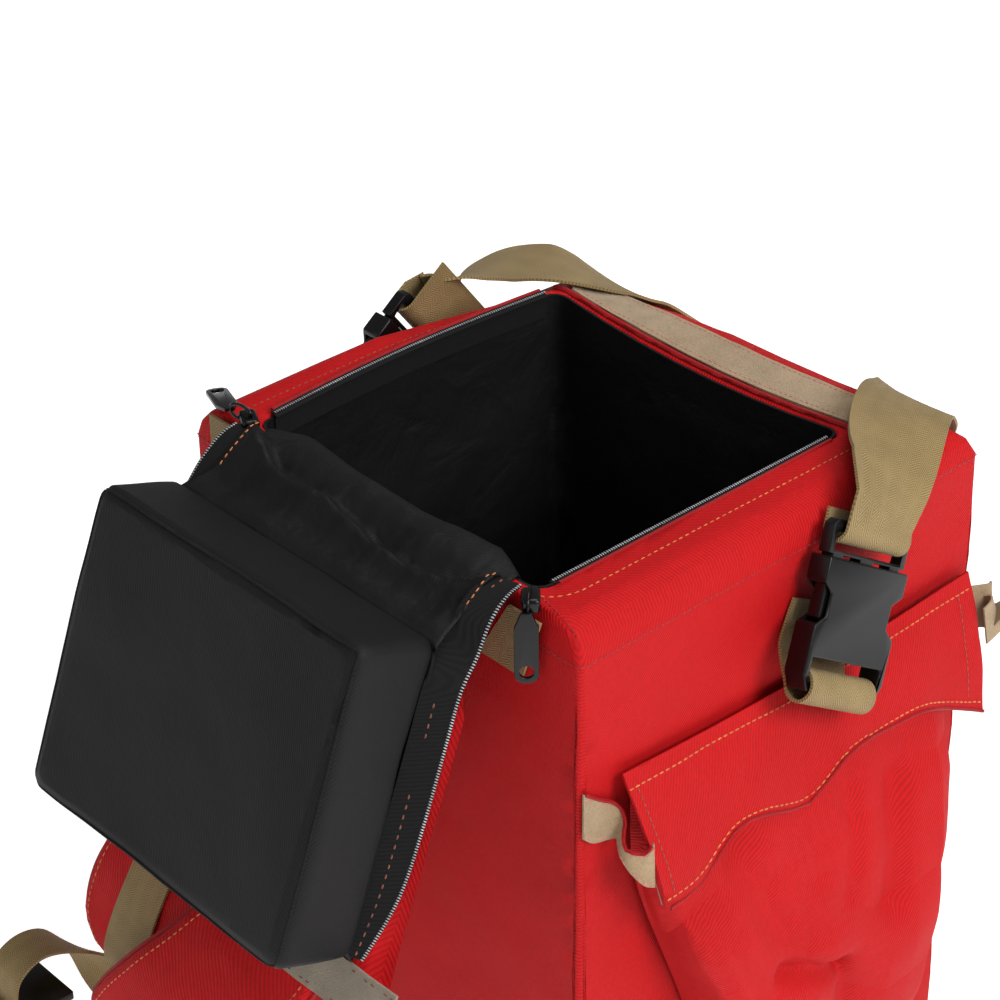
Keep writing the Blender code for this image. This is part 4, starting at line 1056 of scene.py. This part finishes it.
for side, strap in strapRoutes.items():
    rows = smoothPath(strap["route"], 6)
    places = [rim(*row[:3]) for row in rows]
    facing = [Vector(row[3:6]) for row in rows]
    widths = [row[6] for row in rows]
    sides = strapSides(places, facing)
    piece = copyOfNode("strap_" + side, "shoulderStrap" + side.capitalize())
    splitLongEdges(piece, 0.008)
    crumple(piece, ((0.03, 0.0010, 3.0), (0.012, 0.0004, 6.0)))
    smoothFaces(piece, 70)
    dress(piece, redCordura, replaces=["strap_" + side])
    for name, sign in (("A", 1), ("B", -1)):
        edge = [p + s[0] * (w / 2 - 0.006) * sign + s[1] * strapThick / 2
                for p, s, w in zip(places, sides, widths)]
        sew("strapStitch" + side.capitalize() + name, piece, edge, orangeThread,
            (0.0032, 0.0009, 0.0007), 0.0044)
        rimEdge = [p + s[0] * (w / 2 - 0.0002) * sign for p, s, w in zip(places, sides, widths)]
        cordAlong("strapBinding" + side.capitalize() + name, rimEdge, 0.0016, redBinding)
    lift = strapThick / 2 + 0.0003 + 0.0008
    first = round(len(places) * strap["from"])
    onTop = [p + s[1] * (lift + 0.0004) for p, s in zip(places, sides)]
    web = layBand("strapWebbing" + side.capitalize(), onTop[first:-2], facing[first:-2], 0.030, 0.0016, 6)
    dress(web, tanWebbing, replaces=["strap_webbing_" + side])
    lock = copyOfNode("ladder_lock_" + side, "ladderLock" + side.capitalize())
    bevel = lock.modifiers.new("round", "BEVEL")
    bevel.width = 0.0010
    bevel.segments = 3
    bevel.limit_method = "ANGLE"
    applyAll(lock)
    smoothFaces(lock, 40)
    dress(lock, blackAcetal, replaces=["ladder_lock_" + side])
    ahead = (places[-1] - places[-3 * 2 + 1]).normalized()
    adjuster = copyOfNode("adjuster_" + side, "adjuster" + side.capitalize())
    flatMap(adjuster, (1, 0, 0), (0, 0.25, 1))
    smoothFaces(adjuster, 40)
    dress(adjuster, tanWebbing, replaces=["adjuster_" + side])

tailRoute = (
    (-0.1254, -0.2000, -0.3460, -1.0, 0.3, 0.0), (-0.1340, -0.2080, -0.3260, -1.0, 0.4, 0.4),
    (-0.1400, -0.2190, -0.3040, -0.4, 0.8, 0.6), (-0.1410, -0.2350, -0.2880, 0.0, 0.5, 1.0),
    (-0.1410, -0.2520, -0.2830, 0.0, 0.0, 1.0), (-0.1410, -0.2660, -0.2900, 0.0, -0.8, 0.6),
    (-0.1410, -0.2700, -0.3040, 0.0, -1.0, 0.0), (-0.1410, -0.2700, -0.3200, 0.0, -1.0, 0.0),
)
rows = smoothPath(tailRoute, 6)
tail = layBand("webbingTail", [rim(*row[:3]) for row in rows], [Vector(row[3:6]) for row in rows], 0.025, 0.0016)
dress(tail, tanWebbing, replaces=["webbing_tail_left"])
tailLock = copyOfNode("tail_lock_left", "tailLock")
bevel = tailLock.modifiers.new("round", "BEVEL")
bevel.width = 0.0010
bevel.segments = 3
bevel.limit_method = "ANGLE"
applyAll(tailLock)
smoothFaces(tailLock, 40)
dress(tailLock, blackAcetal, replaces=["tail_lock_left"])
print("straps made")


# Floor, lights and camera

def makeFloor():
    for other in bpy.context.selected_objects:
        other.select_set(False)
    bpy.ops.mesh.primitive_plane_add(size=14, location=(0, 0, -0.0005))
    floor = bpy.context.object
    floor.name = "studioFloor"
    look, tree, shader = newLook("paper sweep white", 0.9, specular=0.2)
    shader.inputs["Base Color"].default_value = linear("#F4F4F4")
    shader.inputs["Emission Color"].default_value = (1.0, 1.0, 1.0, 1.0)
    shader.inputs["Emission Strength"].default_value = 0.62
    floor.data.materials.append(look)


lamps = {
    "key": {"place": (2.3, 0.1, 2.0), "size": 1.4, "power": 58},
    "fill": {"place": (-0.8, -2.6, 1.8), "size": 2.4, "power": 9},
    "top": {"place": (0.4, 0.5, 3.0), "size": 1.8, "power": 30},
}


def makeLights():
    for name, lamp in lamps.items():
        light = bpy.data.lights.new(name, "AREA")
        light.shape = "DISK"
        light.size = lamp["size"]
        light.energy = lamp["power"]
        made = bpy.data.objects.new(name, light)
        bpy.context.scene.collection.objects.link(made)
        made.location = lamp["place"]
        toward = Vector((0, 0, 0.3)) - Vector(lamp["place"])
        made.rotation_euler = toward.to_track_quat("-Z", "Y").to_euler()
    world = bpy.data.worlds.new("studio")
    bpy.context.scene.world = world
    world.use_nodes = True
    back = world.node_tree.nodes["Background"]
    back.inputs["Color"].default_value = (1.0, 1.0, 1.0, 1.0)
    back.inputs["Strength"].default_value = 0.22


camera = {"azimuth": 48.10, "elevation": 32.17, "roll": -0.83, "lens": 103.43, "eye": (0.9082, -0.8733, 1.2086)}


def makeCamera():
    az, el, roll = (math.radians(camera[key]) for key in ("azimuth", "elevation", "roll"))
    back = Vector((math.sin(az) * math.cos(el), -math.cos(az) * math.cos(el), math.sin(el)))
    right = Vector((math.cos(az), math.sin(az), 0))
    up = back.cross(right)
    rolledRight = right * math.cos(roll) + up * math.sin(roll)
    rolledUp = up * math.cos(roll) - right * math.sin(roll)
    data = bpy.data.cameras.new("view")
    data.lens = camera["lens"]
    data.sensor_width = 36
    made = bpy.data.objects.new("view", data)
    bpy.context.scene.collection.objects.link(made)
    turned = Matrix((rolledRight, rolledUp, back)).transposed().to_4x4()
    made.matrix_world = Matrix.Translation(camera["eye"]) @ turned
    bpy.context.scene.camera = made


bpy.context.scene.view_settings.view_transform = "Standard"
makeFloor()
makeLights()
makeCamera()
print("stage made")
